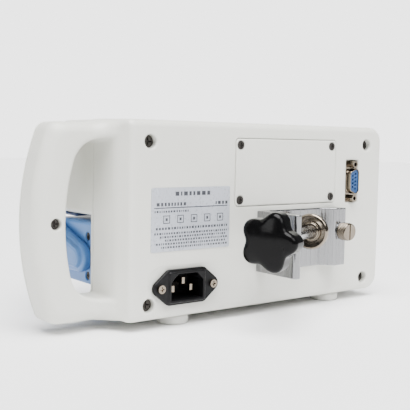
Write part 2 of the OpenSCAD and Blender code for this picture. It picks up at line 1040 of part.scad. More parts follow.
module thumbscrew_washer()
{
  color("#a9a69c")
  difference() {
    cyl_y(-84.7, 54.5, 5.6, jaw_y + gap, jaw_y + 1.5);
    cyl_y(-84.7, 54.5, 3 + run, jaw_y - 1, jaw_y + 3);
  }
}

// ---- drive ----
module chassis()
{
  color("#aeb2b6")
  difference() {
    union() {
      box(-106, 42, -52, 0, body_bottom + wall + 1, 12.5);
      box(-106, -102, -52, 21, body_bottom + wall + 1, 65);
      box(40, 44, -52, -9, body_bottom + wall + 2, 65);
      for (x = [-80, 0])
        cyl_z(x, -30, 6, body_bottom + wall + gap, 11);
    }
    for (x = [-107, 39]) {
      cyl_x(screw_y, screw_z, 8 + gap, x, x + 6);
      cyl_x(screw_y, rod_z, rod_r + gap, x, x + 6);
    }
    cyl_x(tube_y, tube_z, tube_r + 0.6, 39, 45);
    cyl_x(pinion_y, screw_z, 11, -107, -101);
    for (y = [-11.5, 11.5])
      for (z = [-11.5, 11.5])
        cyl_x(pinion_y + y, screw_z + z, 1.3, -107, -101);
  }
}

module stepper_motor()
{
  color("#3b3d40")
  difference() {
    union() {
      box(-102 + gap, -95, pinion_y - 14, pinion_y + 14, screw_z - 14, screw_z + 14);
      box(-96, -80, pinion_y - 13, pinion_y + 13, screw_z - 13, screw_z + 13);
      box(-81, -72, pinion_y - 14, pinion_y + 14, screw_z - 14, screw_z + 14);
    }
    for (y = [-1, 1])
      for (z = [-1, 1])
        translate([-88, pinion_y + y * 19.2, screw_z + z * 19.2])
          rotate([45, 0, 0])
            cube([60, 18, 18], center = true);
    cyl_x(pinion_y, screw_z, 2.5 + run, -103, -80);
  }
}

// spur gear outline with straight-sided teeth
module gear_outline(teeth, pitch_r, tip, root)
{
  step = 360 / teeth;
  union() {
    circle(pitch_r - root + 0.05);
    for (i = [0:teeth - 1])
      rotate([0, 0, i * step])
        polygon([
          [pitch_r - root - 0.3, -pitch_r * step * 0.0049],
          [pitch_r + tip, -pitch_r * step * 0.0028],
          [pitch_r + tip, pitch_r * step * 0.0028],
          [pitch_r - root - 0.3, pitch_r * step * 0.0049]
        ]);
  }
}

module motor_pinion()
{
  color("#c9b37a")
  union() {
    translate([0, pinion_y, screw_z])
      rotate([0, 90, 0])
        translate([0, 0, -114])
          linear_extrude(6)
            gear_outline(pinion_teeth, pinion_pitch_r, -0.17, 1.4);
    cyl_x(pinion_y, screw_z, 2.5, -114.6, -81);
  }
}

module screw_gear()
{
  color("#e6e4dc")
  difference() {
    translate([0, screw_y, screw_z])
      rotate([0, 90, 0])
        translate([0, 0, -113])
          linear_extrude(4)
            gear_outline(gear_teeth, gear_pitch_r, -0.17, 1.4);
    cyl_x(screw_y, screw_z, 3 + gap, -115, -107);
  }
}

module lead_screw()
{
  color("#b4b6b8")
  union() {
    cyl_x(screw_y, screw_z, 3, -114, 43.6);
    cyl_x(screw_y, screw_z, screw_r, -101.6, 39.6);
  }
}

module screw_bearings()
{
  color("#9fa3a8")
  for (x = [-106, 40])
    difference() {
      cyl_x(screw_y, screw_z, 8, x, x + 4);
      cyl_x(screw_y, screw_z, 3 + run, x - 1, x + 5);
      difference() {
        cyl_x(screw_y, screw_z, 6.4, x - 1, x + 0.4);
        cyl_x(screw_y, screw_z, 4.6, x - 2, x + 1);
      }
    }
}

module guide_rod()
{
  color("#bfc1c3")
  cyl_x(screw_y, rod_z, rod_r, -106, 44);
}

module carriage()
{
  color("#d8d4c6")
  difference() {
    union() {
      box(-100, -78, -52.3, -30, 30, 51);
      box(-100, -78, -34, -12.5, 46, 64.8);
      box(-98, -80, -32.2, -29.2, 19, 48);
      box(-98, -80, -14.8, -12.5, 19, 48);
    }
    cyl_x(tube_y, tube_z, tube_r + gap, -101, -77);
    cyl_x(screw_y, rod_z, rod_r + run, -101, -77);
  }
}

module half_nut()
{
  color("#b08d4c")
  difference() {
    box(-97, -81, -28.8, -15.2, 20, screw_z);
    cyl_x(screw_y, screw_z, screw_r + run, -98, -80);
  }
}

module drive_tube()
{
  color("#c3c5c7")
  difference() {
    cyl_x(tube_y, tube_z, tube_r, -100, 60);
    cyl_x(tube_y, tube_z, 4.6, -101, 61);
  }
}

module release_shaft()
{
  color("#9c9ea1")
  cyl_x(tube_y, tube_z, 3, -100, 86);
}

module tube_bushing()
{
  color("#2a2b2d")
  difference() {
    union() {
      cyl_x(tube_y, tube_z, 10, 45, 51);
      cyl_x(tube_y, tube_z, 12, 50 + gap, 51.4);
    }
    cyl_x(tube_y, tube_z, tube_r + run, 44, 53);
  }
}

// ---- drive head ----
module pusher_case()
{
  color("#8db4de")
  difference() {
    thick_x(head_left, head_mid)
      rounded(head_front, head_rear, head_low, head_high, 6);
    thick_x(head_left + 2.5, head_mid + 1)
      rounded(head_front + 2.5, head_rear - 2.5, head_low + 2.5, head_high - 2.5, 3.5);
    cyl_x(tube_y, tube_z, tube_r + gap, head_left - 1, head_left + 4);
    cyl_x(claw_y, claw_up_z, 3 + run, head_left - 1, head_left + 4);
    cyl_x(claw_y, claw_low_z, 3 + run, head_left - 1, head_left + 4);
  }
}

module pusher_cover()
{
  color("#8db4de")
  difference() {
    union() {
      thick_x(head_mid + gap, head_right)
        rounded(head_front, head_rear, head_low, head_high, 6);
      for (z = [26, 52.3])
        cyl_x(-38, z, 3.3, 57, head_right - 1);
    }
    for (z = [26, 52.3]) {
      cyl_x(-38, z, 3, 77.4, head_right + 1);
      cyl_x(-38, z, 1.7, 56, head_right + 1);
    }
    cyl_x(tube_y, tube_z, 3 + run, head_mid - 1, head_right + 1);
  }
}

module pusher_screws()
{
  color("#9a9c9f")
  for (z = [26, 52.3])
    difference() {
      union() {
        cyl_x(-38, z, 2.7, 77.4 + gap, 79.2);
        cyl_x(-38, z, 1.6, head_left + 2.6, 77.6);
      }
      box(78.3, 80, -39.7, -36.3, z - 0.4, z + 0.4);
      box(78.3, 80, -38.4, -37.6, z - 1.7, z + 1.7);
    }
}

module clutch_lever()
{
  color("#7fa9d6")
  difference() {
    union() {
      thick_x(head_right + 0.4, head_right + 6)
        hull() {
          translate([-41.5, 38.5])
            circle(10, $fn = 64);
          translate([-76, 56])
            circle(4, $fn = 32);
          translate([-75, 32])
            circle(4, $fn = 32);
        }
      thick_x(head_right + 5, head_right + 8.6)
        hull() {
          translate([-42.5, 38.8])
            circle(7.5, $fn = 64);
          translate([-74, 53])
            circle(3, $fn = 32);
          translate([-73, 34.5])
            circle(3, $fn = 32);
        }
    }
    cyl_x(tube_y, tube_z, 3 + gap, head_right, 86 + gap);
  }
}

// a plunger finger: s is +1 for the upper one and -1 for the lower one
module claw(pivot_z, s)
{
  thick_x(45, 48.2)
    union() {
      translate([claw_y, pivot_z])
        circle(3.2);
      polygon([
        [claw_y + 0.8, pivot_z + s * 3.1],
        [claw_y + 3, pivot_z - s * 1],
        [claw_y + 1.5, pivot_z - s * 4.5],
        [claw_y - 3, pivot_z - s * 7],
        [claw_y - 12, pivot_z - s * 9.4],
        [claw_y - 22, pivot_z - s * 9],
        [claw_y - 23, pivot_z - s * 4],
        [claw_y - 13, pivot_z - s * 1],
        [claw_y - 5, pivot_z + s * 2.6]
      ]);
    }
  cyl_x(claw_y, pivot_z, 3, 45.5, 60);
}

module claw_upper()
{
  color("#d7d9db")
  claw(claw_up_z, 1);
}

module claw_lower()
{
  color("#d7d9db")
  claw(claw_low_z, -1);
}

module force_plate()
{
  color("#cfd1d3")
  cyl_x(-74, 41, 9, 49, head_left - gap);
}

// ---- barrel clamp ----
module barrel_arm()
{
  color("#3a4a6e")
  difference() {
    thick_y(-90, -84.6)
      union() {
        translate([barrel_x, barrel_z])
          circle(7);
        translate([barrel_x - 5, barrel_z])
          square([10, 36]);
        translate([barrel_x, 52])
          circle(7);
      }
    cyl_y(barrel_x, barrel_z, 4 + gap, -88, -84);
  }
}

module barrel_rod()
{
  color("#c3c5c7")
  cyl_y(barrel_x, barrel_z, 4, -88, -57);
}

module barrel_collar()
{
  color("#55585c")
  difference() {
    cyl_y(barrel_x, barrel_z, 6, -62, -58);
    cyl_y(barrel_x, barrel_z, 4 + run, -63, -57);
  }
}

module barrel_spring()
{
  color("#a4a6a8")
  translate([barrel_x, -72.1, barrel_z])
    rotate([90, 0, 0])
      linear_extrude(height = 4.8, twist = -720, slices = 24)
        polygon(concat(
          [for (a = [0:40:160]) [5.7 * cos(a), 5.7 * sin(a)]],
          [for (a = [160:-40:0]) [4.8 * cos(a), 4.8 * sin(a)]]
        ));
}

module alarm_speaker()
{
  color("#2c2d2f")
  union() {
    cyl_y(20, 40, 13, 16, 21.9);
    cyl_y(20, 40, 8, 11, 16.5);
  }
}

rear_shell();
front_shell();
front_fascia();
display_window();
lcd_module();
keypad_board();
key_start();
key_hold();
key_bolus();
key_mute();
key_fast_up();
key_up();
key_down();
key_fast_down();
main_board();
power_board();
battery_pack();
battery_door();
battery_door_screws();
housing_screws();
feet();
foot_screws();
inlet_body();
inlet_pins();
inlet_screws();
serial_shell();
serial_insert();
serial_jackscrews();
rating_label();
clamp_bracket();
clamp_bracket_screws();
clamp_screw();
clamp_knob();
clamp_pad();
thumbscrew();
thumbscrew_washer();
chassis();
stepper_motor();
motor_pinion();
lead_screw();
screw_gear();
screw_bearings();
guide_rod();
carriage();
half_nut();
drive_tube();
release_shaft();
tube_bushing();
pusher_case();
pusher_cover();
pusher_screws();
clutch_lever();
claw_upper();
claw_lower();
force_plate();
barrel_arm();
barrel_rod();
barrel_collar();
barrel_spring();
alarm_speaker();
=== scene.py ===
"""Look of the syringe infusion pump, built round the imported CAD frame.

The two housing shells, the drive head, the knob and the other moulded parts are rebuilt as
smooth meshes from signed distance functions. Turned, cut and pressed metal parts keep their CAD
mesh and get a fine bevel and a material. Shape functions work in millimetres in the row's frame.
"""
import json
import math
import bmesh
import bpy
import numpy as np
from mathutils import Matrix, Vector


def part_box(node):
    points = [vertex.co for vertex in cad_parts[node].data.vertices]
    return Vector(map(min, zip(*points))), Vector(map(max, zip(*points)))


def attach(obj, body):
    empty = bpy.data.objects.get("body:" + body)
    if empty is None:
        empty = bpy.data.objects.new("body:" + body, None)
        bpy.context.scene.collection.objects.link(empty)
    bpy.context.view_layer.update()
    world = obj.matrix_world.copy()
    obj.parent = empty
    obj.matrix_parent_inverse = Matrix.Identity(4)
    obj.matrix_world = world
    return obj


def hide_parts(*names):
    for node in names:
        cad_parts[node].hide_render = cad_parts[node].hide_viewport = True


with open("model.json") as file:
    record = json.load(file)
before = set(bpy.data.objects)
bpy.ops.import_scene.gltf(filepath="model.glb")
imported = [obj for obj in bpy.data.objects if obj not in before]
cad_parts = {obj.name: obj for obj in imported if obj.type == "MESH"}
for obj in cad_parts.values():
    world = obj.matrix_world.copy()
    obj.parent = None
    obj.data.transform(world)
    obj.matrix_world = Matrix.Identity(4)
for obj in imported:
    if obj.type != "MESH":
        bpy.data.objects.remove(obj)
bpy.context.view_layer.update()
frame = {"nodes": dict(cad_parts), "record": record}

MM = 0.001
NODES = frame["nodes"]
SLOT_OF = {p["node"]: p["material_slot"] for p in frame["record"]["subparts"]}


def span(node):
    """Lowest and highest corner of a CAD node in millimetres."""
    lo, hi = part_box(node)
    return np.array(lo) / MM, np.array(hi) / MM


# ---------------------------------------------------------------- distance functions
def rect2(a, b, a0, a1, b0, b1, r=0.0):
    """Rounded rectangle between two corners."""
    u = np.abs(a - (a0 + a1) / 2) - (a1 - a0) / 2 + r
    v = np.abs(b - (b0 + b1) / 2) - (b1 - b0) / 2 + r
    return np.hypot(np.maximum(u, 0), np.maximum(v, 0)) + np.minimum(np.maximum(u, v), 0) - r


def prism(d2, t, t0, t1, r=0.0):
    """Outline d2 thickened from t0 to t1, with its end edges rounded by r."""
    u = d2 + r
    v = np.abs(t - (t0 + t1) / 2) - (t1 - t0) / 2 + r
    return np.hypot(np.maximum(u, 0), np.maximum(v, 0)) + np.minimum(np.maximum(u, v), 0) - r


def disc2(a, b, ca, cb, r):
    return np.hypot(a - ca, b - cb) - r


def both(a, b, k=0.0):
    """Intersection with a soft edge about k wide."""
    if k <= 0:
        return np.maximum(a, b)
    h = np.maximum(k - np.abs(a - b), 0) / k
    return np.maximum(a, b) + h * h * k / 4


def either(a, b, k=0.0):
    """Union with a soft inner corner about k wide."""
    return -both(-a, -b, k)


def minus(a, b, k=0.0):
    return both(a, -b, k)


def segment2(a, b, p, q, r0, r1):
    """Round-ended bar between two points, r0 wide at p and r1 at q."""
    da, db = q[0] - p[0], q[1] - p[1]
    t = np.clip(((a - p[0]) * da + (b - p[1]) * db) / (da * da + db * db), 0, 1)
    return np.hypot(a - p[0] - t * da, b - p[1] - t * db) - (r0 + t * (r1 - r0))


def poly2(a, b, pts):
    """Distance to a closed polygon, negative inside."""
    d = np.full(np.broadcast(a, b).shape, 1e9)
    inside = np.zeros(d.shape, bool)
    n = len(pts)
    for i in range(n):
        (x0, y0), (x1, y1) = pts[i], pts[(i + 1) % n]
        ex, ey = x1 - x0, y1 - y0
        t = np.clip(((a - x0) * ex + (b - y0) * ey) / (ex * ex + ey * ey), 0, 1)
        d = np.minimum(d, np.hypot(a - x0 - t * ex, b - y0 - t * ey))
        cross = ((y0 > b) != (y1 > b)) & (a < ex * (b - y0) / (ey if ey else 1e-9) + x0)
        inside ^= cross
    return np.where(inside, -d, d)


# ---------------------------------------------------------------- surface from a distance function
def surface(name, f, lo, hi, h, project=3):
    """Mesh of f = 0 in the box lo..hi (mm) with cells of size h, as a new object."""
    lo, hi = np.array(lo, float) - 2.5 * h, np.array(hi, float) + 2.5 * h
    n = np.ceil((hi - lo) / h).astype(int) + 1
    n += (-n) % 4
    ax = [lo[i] + h * np.arange(n[i]) for i in range(3)]
    mid = [a.reshape(-1, 4).mean(axis=1) for a in ax]
    c = f(*np.meshgrid(*mid, indexing="ij", sparse=False))
    d = np.repeat(np.repeat(np.repeat(c, 4, 0), 4, 1), 4, 2).astype(np.float64)
    near = np.abs(d) < 5.2 * h
    ix = np.nonzero(near)
    d[ix] = f(ax[0][ix[0]], ax[1][ix[1]], ax[2][ix[2]])
    s = d < 0
    shape = n - 1
    count = np.zeros(shape, np.int32)
    total = np.zeros((3,) + tuple(shape))
    cell = [slice(0, -1), slice(1, None)]
    for axis in range(3):
        o1, o2 = [i for i in range(3) if i != axis]
        a_sl, b_sl = [slice(None)] * 3, [slice(None)] * 3
        a_sl[axis], b_sl[axis] = cell
        da, db = d[tuple(a_sl)], d[tuple(b_sl)]
        cross = (da < 0) != (db < 0)
        t = np.where(cross, da / np.where(cross, da - db, 1), 0)
        for i in (0, 1):
            for j in (0, 1):
                sl = [slice(None)] * 3
                sl[o1], sl[o2] = cell[i], cell[j]
                sl = tuple(sl)
                cr = cross[sl]
                count += cr
                total[axis] += np.where(cr, t[sl], 0)
                total[o1] += cr * i
                total[o2] += cr * j
    used = count > 0
    ids = np.full(shape, -1, np.int64)
    cells = np.argwhere(used)
    ids[used] = np.arange(len(cells))
    pts = lo + h * (cells + (total[:, used] / count[used]).T)
    faces = []
    for axis in range(3):
        o1, o2 = [(1, 2), (2, 0), (0, 1)][axis]
        a_sl, b_sl = [slice(1, -1)] * 3, [slice(1, -1)] * 3
        a_sl[axis], b_sl[axis] = slice(0, -1), slice(1, None)
        sa, sb = s[tuple(a_sl)], s[tuple(b_sl)]
        e = np.argwhere(sa != sb)
        e[:, o1] += 1
        e[:, o2] += 1
        flip = s[tuple(e.T)]
        quad = []
        for i, j in ((0, 0), (1, 0), (1, 1), (0, 1)):
            q = e.copy()
            q[:, o1] -= 1 - i
            q[:, o2] -= 1 - j
            quad.append(ids[tuple(q.T)])
        quad = np.stack(quad, 1)
        quad[~flip] = quad[~flip][:, ::-1]
        faces.append(quad)
    faces = np.concatenate(faces)
    faces = faces[(faces >= 0).all(axis=1)]
    start, eps = pts.copy(), 0.02
    for _ in range(project):
        p = pts.T
        v = f(*p)
        g = np.stack([f(*(p + eps * np.eye(3)[:, [i]])) - v for i in range(3)], 1) / eps
        g2 = np.maximum((g * g).sum(1), 0.2)
        pts = pts - (v / g2)[:, None] * g
        move = np.clip(pts - start, -0.6 * h, 0.6 * h)
        pts = start + move
    mesh = bpy.data.meshes.new(name)
    mesh.vertices.add(len(pts))
    mesh.vertices.foreach_set("co", (pts * MM).ravel())
    mesh.loops.add(faces.size)
    mesh.loops.foreach_set("vertex_index", faces.ravel().astype(np.int32))
    mesh.polygons.add(len(faces))
    mesh.polygons.foreach_set("loop_start", np.arange(0, faces.size, 4, dtype=np.int32))
    mesh.polygons.foreach_set("loop_total", np.full(len(faces), 4, np.int32))
    mesh.update(calc_edges=True)
    mesh.validate()
    mesh.shade_smooth()
    ob = bpy.data.objects.new(name, mesh)
    bpy.context.scene.collection.objects.link(ob)
    return ob


def local(d, x, y, z, lo, hi, change):
    """Applies change(d, x, y, z) only inside the box lo..hi."""
    m = (x > lo[0]) & (x < hi[0]) & (y > lo[1]) & (y < hi[1]) & (z > lo[2]) & (z < hi[2])
    if m.any():
        d = d.copy()
        d[m] = change(d[m], x[m], y[m], z[m])
    return d


def stand_in(ob, body, slot, *nodes):
    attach(ob, body)
    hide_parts(*nodes)
    return ob


# ---------------------------------------------------------------- materials
def material(name, color, rough=0.45, metal=0.0, tint=0.04, tint_scale=40.0, grain=0.0,
             grain_scale=1500.0, stretch=(1, 1, 1), rough_var=0.06, coat=0.0, wear=0.0, **sockets):
    """Principled material with noise in its colour, roughness and bump. grain is the bump's depth in mm."""
    m = bpy.data.materials.new(name)
    m.use_nodes = True
    nt = m.node_tree
    bsdf = nt.nodes["Principled BSDF"]
    coord = nt.nodes.new("ShaderNodeTexCoord")
    place = nt.nodes.new("ShaderNodeMapping")
    place.inputs["Scale"].default_value = stretch
    nt.links.new(coord.outputs["Object"], place.inputs["Vector"])

    def noise(scale, detail=3.0):
        n = nt.nodes.new("ShaderNodeTexNoise")
        n.inputs["Scale"].default_value = scale
        n.inputs["Detail"].default_value = detail
        nt.links.new(place.outputs["Vector"], n.inputs["Vector"])
        return n

    def spread(source, lo, hi):
        r = nt.nodes.new("ShaderNodeMapRange")
        r.inputs["From Min"].default_value = 0.3
        r.inputs["From Max"].default_value = 0.7
        r.inputs["To Min"].default_value = lo
        r.inputs["To Max"].default_value = hi
        nt.links.new(source, r.inputs["Value"])
        return r

    broad = noise(tint_scale)
    mix = nt.nodes.new("ShaderNodeMix")
    mix.data_type = "RGBA"
    dark = [c * (1 - tint) for c in color]
    pale = [min(1.0, c * (1 + tint)) for c in color]
    mix.inputs["A"].default_value = (*dark, 1)
    mix.inputs["B"].default_value = (*pale, 1)
    nt.links.new(spread(broad.outputs["Fac"], 0, 1).outputs["Result"], mix.inputs["Factor"])
    out = mix.outputs["Result"]
    if wear:
        geo = nt.nodes.new("ShaderNodeNewGeometry")
        edge = nt.nodes.new("ShaderNodeMapRange")
        edge.inputs["From Min"].default_value = 0.52
        edge.inputs["From Max"].default_value = 0.60
        nt.links.new(geo.outputs["Pointiness"], edge.inputs["Value"])
        amount = nt.nodes.new("ShaderNodeMath")
        amount.operation = "MULTIPLY"
        amount.inputs[1].default_value = wear
        nt.links.new(edge.outputs["Result"], amount.inputs[0])
        rub = nt.nodes.new("ShaderNodeMix")
        rub.data_type = "RGBA"
        rub.inputs["B"].default_value = (*[min(1.0, c * 1.25 + 0.02) for c in color], 1)
        nt.links.new(amount.outputs["Value"], rub.inputs["Factor"])
        nt.links.new(out, rub.inputs["A"])
        out = rub.outputs["Result"]
    nt.links.new(out, bsdf.inputs["Base Color"])
    fine = noise(grain_scale, 4.0)
    rough_spread = spread(fine.outputs["Fac"], max(0.02, rough - rough_var), rough + rough_var)
    nt.links.new(rough_spread.outputs["Result"], bsdf.inputs["Roughness"])
    if grain:
        bump = nt.nodes.new("ShaderNodeBump")
        bump.inputs["Strength"].default_value = 1.0
        bump.inputs["Distance"].default_value = grain * MM
        nt.links.new(fine.outputs["Fac"], bump.inputs["Height"])
        nt.links.new(bump.outputs["Normal"], bsdf.inputs["Normal"])
    bsdf.inputs["Metallic"].default_value = metal
    bsdf.inputs["Coat Weight"].default_value = coat
    for key, value in sockets.items():
        bsdf.inputs[key.replace("_", " ")].default_value = value
    return m


PALE = (0.66, 0.66, 0.61)
MAT = {
    "housing": material("housing_abs", PALE, 0.40, grain=0.05, grain_scale=1300, tint=0.015, rough_var=0.05),
    "fascia": material("fascia_blue", (0.022, 0.045, 0.13), 0.34, grain=0.02, tint=0.06),
    "window": material("window_glass", (0.10, 0.12, 0.13), 0.06, tint=0.02, rough_var=0.02,
                       coat=0.4, Alpha=0.35),
    "lcd": material("lcd_glass", (0.30, 0.42, 0.33), 0.18, tint=0.05, tint_scale=15),
    "ink": material("print_ink", (0.035, 0.037, 0.045), 0.5, tint=0.15, tint_scale=300),
    "key_green": material("key_green", (0.05, 0.32, 0.10), 0.42, grain=0.03, tint=0.05),
    "key_amber": material("key_amber", (0.62, 0.36, 0.05), 0.42, grain=0.03, tint=0.05),
    "key_blue": material("key_blue", (0.08, 0.22, 0.50), 0.42, grain=0.03, tint=0.05),
    "key_grey": material("key_grey", (0.25, 0.27, 0.30), 0.42, grain=0.03, tint=0.05),
    "key_light": material("key_light", (0.66, 0.68, 0.69), 0.42, grain=0.03, tint=0.03),
    "board": material("board_green", (0.02, 0.15, 0.05), 0.35, tint=0.25, tint_scale=260),
    "battery_wrap": material("battery_wrap", (0.05, 0.16, 0.38), 0.28, tint=0.05, coat=0.3),
    # Screw heads: steel darkened as painted shade, standing for the shade deep in their recesses.
    "dark_screw": material("screw_grey_painted_shade", (0.05, 0.046, 0.042), 0.42, 0.8, tint=0.1, tint_scale=500,
                           grain=0.02),
    "steel": material("ground_steel", (0.42, 0.42, 0.42), 0.26, 1.0, tint=0.06, grain=0.01, grain_scale=900),
    "nickel": material("nickel_plate", (0.22, 0.188, 0.15), 0.16, 1.0, tint=0.08, tint_scale=180, grain=0.012,
                       grain_scale=700, rough_var=0.08),
    "black_plastic": material("knob_black", (0.0025, 0.0025, 0.0027), 0.14, tint=0.2, rough_var=0.03,
                              grain=0.006, grain_scale=300, Specular_IOR_Level=0.10),
    "black_matt": material("moulded_black", (0.004, 0.004, 0.0045), 0.36, tint=0.2, grain=0.03,
                           grain_scale=1100,
                           Specular_IOR_Level=0.15),
    "serial_blue": material("insert_blue", (0.007, 0.05, 0.165), 0.45, tint=0.05, grain=0.01),
    "label": material("label_foil", (0.42, 0.44, 0.49), 0.30, 0.15, tint=0.015, tint_scale=25, grain=0.01,
                      grain_scale=500),
    "aluminium": material("anodised_aluminium", (0.25, 0.252, 0.258), 0.24, 1.0, tint=0.07, tint_scale=9,
                          grain=0.03, grain_scale=900, stretch=(1, 1, 0.02), rough_var=0.09),
    "motor_black": material("motor_black", (0.05, 0.05, 0.055), 0.4, 0.3, tint=0.1, grain=0.02),
    "brass": material("brass", (0.62, 0.43, 0.16), 0.28, 1.0, tint=0.08, grain=0.01),
    "gear_white": material("gear_acetal", (0.70, 0.69, 0.64), 0.38, tint=0.03, grain=0.02),
    "bronze": material("nut_bronze", (0.46, 0.30, 0.12), 0.34, 1.0, tint=0.1, grain=0.02),
    "pale_blue": material("pale_blue_abs", (0.085, 0.225, 0.53), 0.38, grain=0.035, tint=0.02,
                          grain_scale=1300),
    "claw_grey": material("claw_grey", (0.58, 0.59, 0.61), 0.40, tint=0.03, grain=0.02),
    "arm_blue": material("arm_blue", (0.045, 0.08, 0.20), 0.36, tint=0.05, grain=0.03),
    "foot": material("foot_rubber", (0.60, 0.60, 0.565), 0.62, tint=0.04, grain=0.05, grain_scale=900),
}


def paint(ob, slot):
    ob.data.materials.clear()
    ob.data.materials.append(MAT[slot])
    return ob


# ---------------------------------------------------------------- shared outlines
SHELL_LO, SHELL_HI = span("rear_shell")
LEFT, RIGHT = SHELL_LO[0], SHELL_HI[0]
SPLIT, REAR = SHELL_LO[1], SHELL_HI[1]
LOW, TOP = SHELL_LO[2], SHELL_HI[2]
BOW_R, BOW_Z = 160.0, 66.0
BOW_X = RIGHT - BOW_R
GRIP_R = 139.7
SIDE = 93.5          # right side of the housing at the handle
HANDLE_REAR, HANDLE_FRONT = 9.0, -15.0
HANDLE_TOP, HANDLE_LOW = 127.0, 6.5
GRIP = (91.0, 20.0, 117.0)
WALL = 3.0
DISPLAY_Y, DISPLAY_LOW = -76.0, 66.0
BLOCK_Y, BLOCK_RIGHT = -56.0, 50.0
LEDGE_Y, LEDGE_TOP, LEDGE_RIGHT = -84.0, 28.0, 41.0
HOUSING_SEAT, HANDLE_SEAT = 18.4, 3.2     # the floors of the screw recesses


def handle2(x, z, o=0.0):
    mid, half = (HANDLE_TOP + HANDLE_LOW) / 2, (HANDLE_TOP - HANDLE_LOW) / 2
    return both(disc2(x, z, BOW_X, BOW_Z, BOW_R - o), np.abs(z - mid) - half + o, 5)


def grip2(x, y, z, o=0.0):
    """Finger opening: bow-shaped outside, straight inside, its roof falling a little to the front."""
    roof = GRIP[2] + 1.0 - 0.09 * (HANDLE_REAR - y)
    ends = np.maximum(z - roof, GRIP[1] - z) - o
    bow = both(disc2(x, z, BOW_X, BOW_Z, GRIP_R + o), ends, 16)
    return both(bow, GRIP[0] - o - x, 2.5)


def display2(x, z, o=0.0):
    """Display housing's outline: its lower edge climbs to the handle, then turns up a big corner."""
    flat = np.minimum(rect2(x, z, LEFT + o, 76, DISPLAY_LOW + o, TOP - o, 8),
                      rect2(x, z, LEFT + o, SIDE - o, 96, TOP - o, 8))
    climb = (x - 79.6) * 0.2756 - (z - DISPLAY_LOW - 0.46) * 0.9613 + o
    end = both(disc2(x, z, BOW_X, BOW_Z, BOW_R - 3 - o), climb, 24)
    end = both(end, DISPLAY_LOW + o - z, 3)
    end = both(end, z - (HANDLE_TOP - 0.5) + o, 5)
    return np.minimum(flat, both(end, 60 - x))


SIDE_X, SIDE_TILT, SIDE_R = -28.3, math.radians(25.3), 150.0


def side_cut(x, y, z, o=0.0):
    """The leaning side that keeps the display housing behind the handle's outline."""
    across = (x - SIDE_X) * math.cos(SIDE_TILT) - (y - 5) * math.sin(SIDE_TILT)
    return disc2(across, z, 0, BOW_Z, SIDE_R - o)


HOUSING_SCREWS = [(-122.3, 15.8), (72.3, 15.8), (-122.3, 116.2), (72.3, 116.2)]
HANDLE_SCREW = (126.4, 67.0)
DOOR_LO, DOOR_HI = span("battery_door")
INLET_LO, INLET_HI = span("inlet_body")
INLET_X, INLET_Z = (INLET_LO[0] + INLET_HI[0]) / 2, (INLET_LO[2] + INLET_HI[2]) / 2
SERIAL_LO, SERIAL_HI = span("serial_shell")
SERIAL_X, SERIAL_Z = (SERIAL_LO[0] + SERIAL_HI[0]) / 2, (SERIAL_LO[2] + SERIAL_HI[2]) / 2
DOOR_SCREWS = [(DOOR_LO[0] + 4.1, DOOR_LO[2] + 4), (DOOR_HI[0] - 3.8, DOOR_LO[2] + 4),
               (DOOR_LO[0] + 4.1, DOOR_HI[2] - 4.2), (DOOR_HI[0] - 3.8, DOOR_HI[2] - 4.2)]
FEET = [(-95, 11), (45, 11), (-95, -70), (28, -70)]


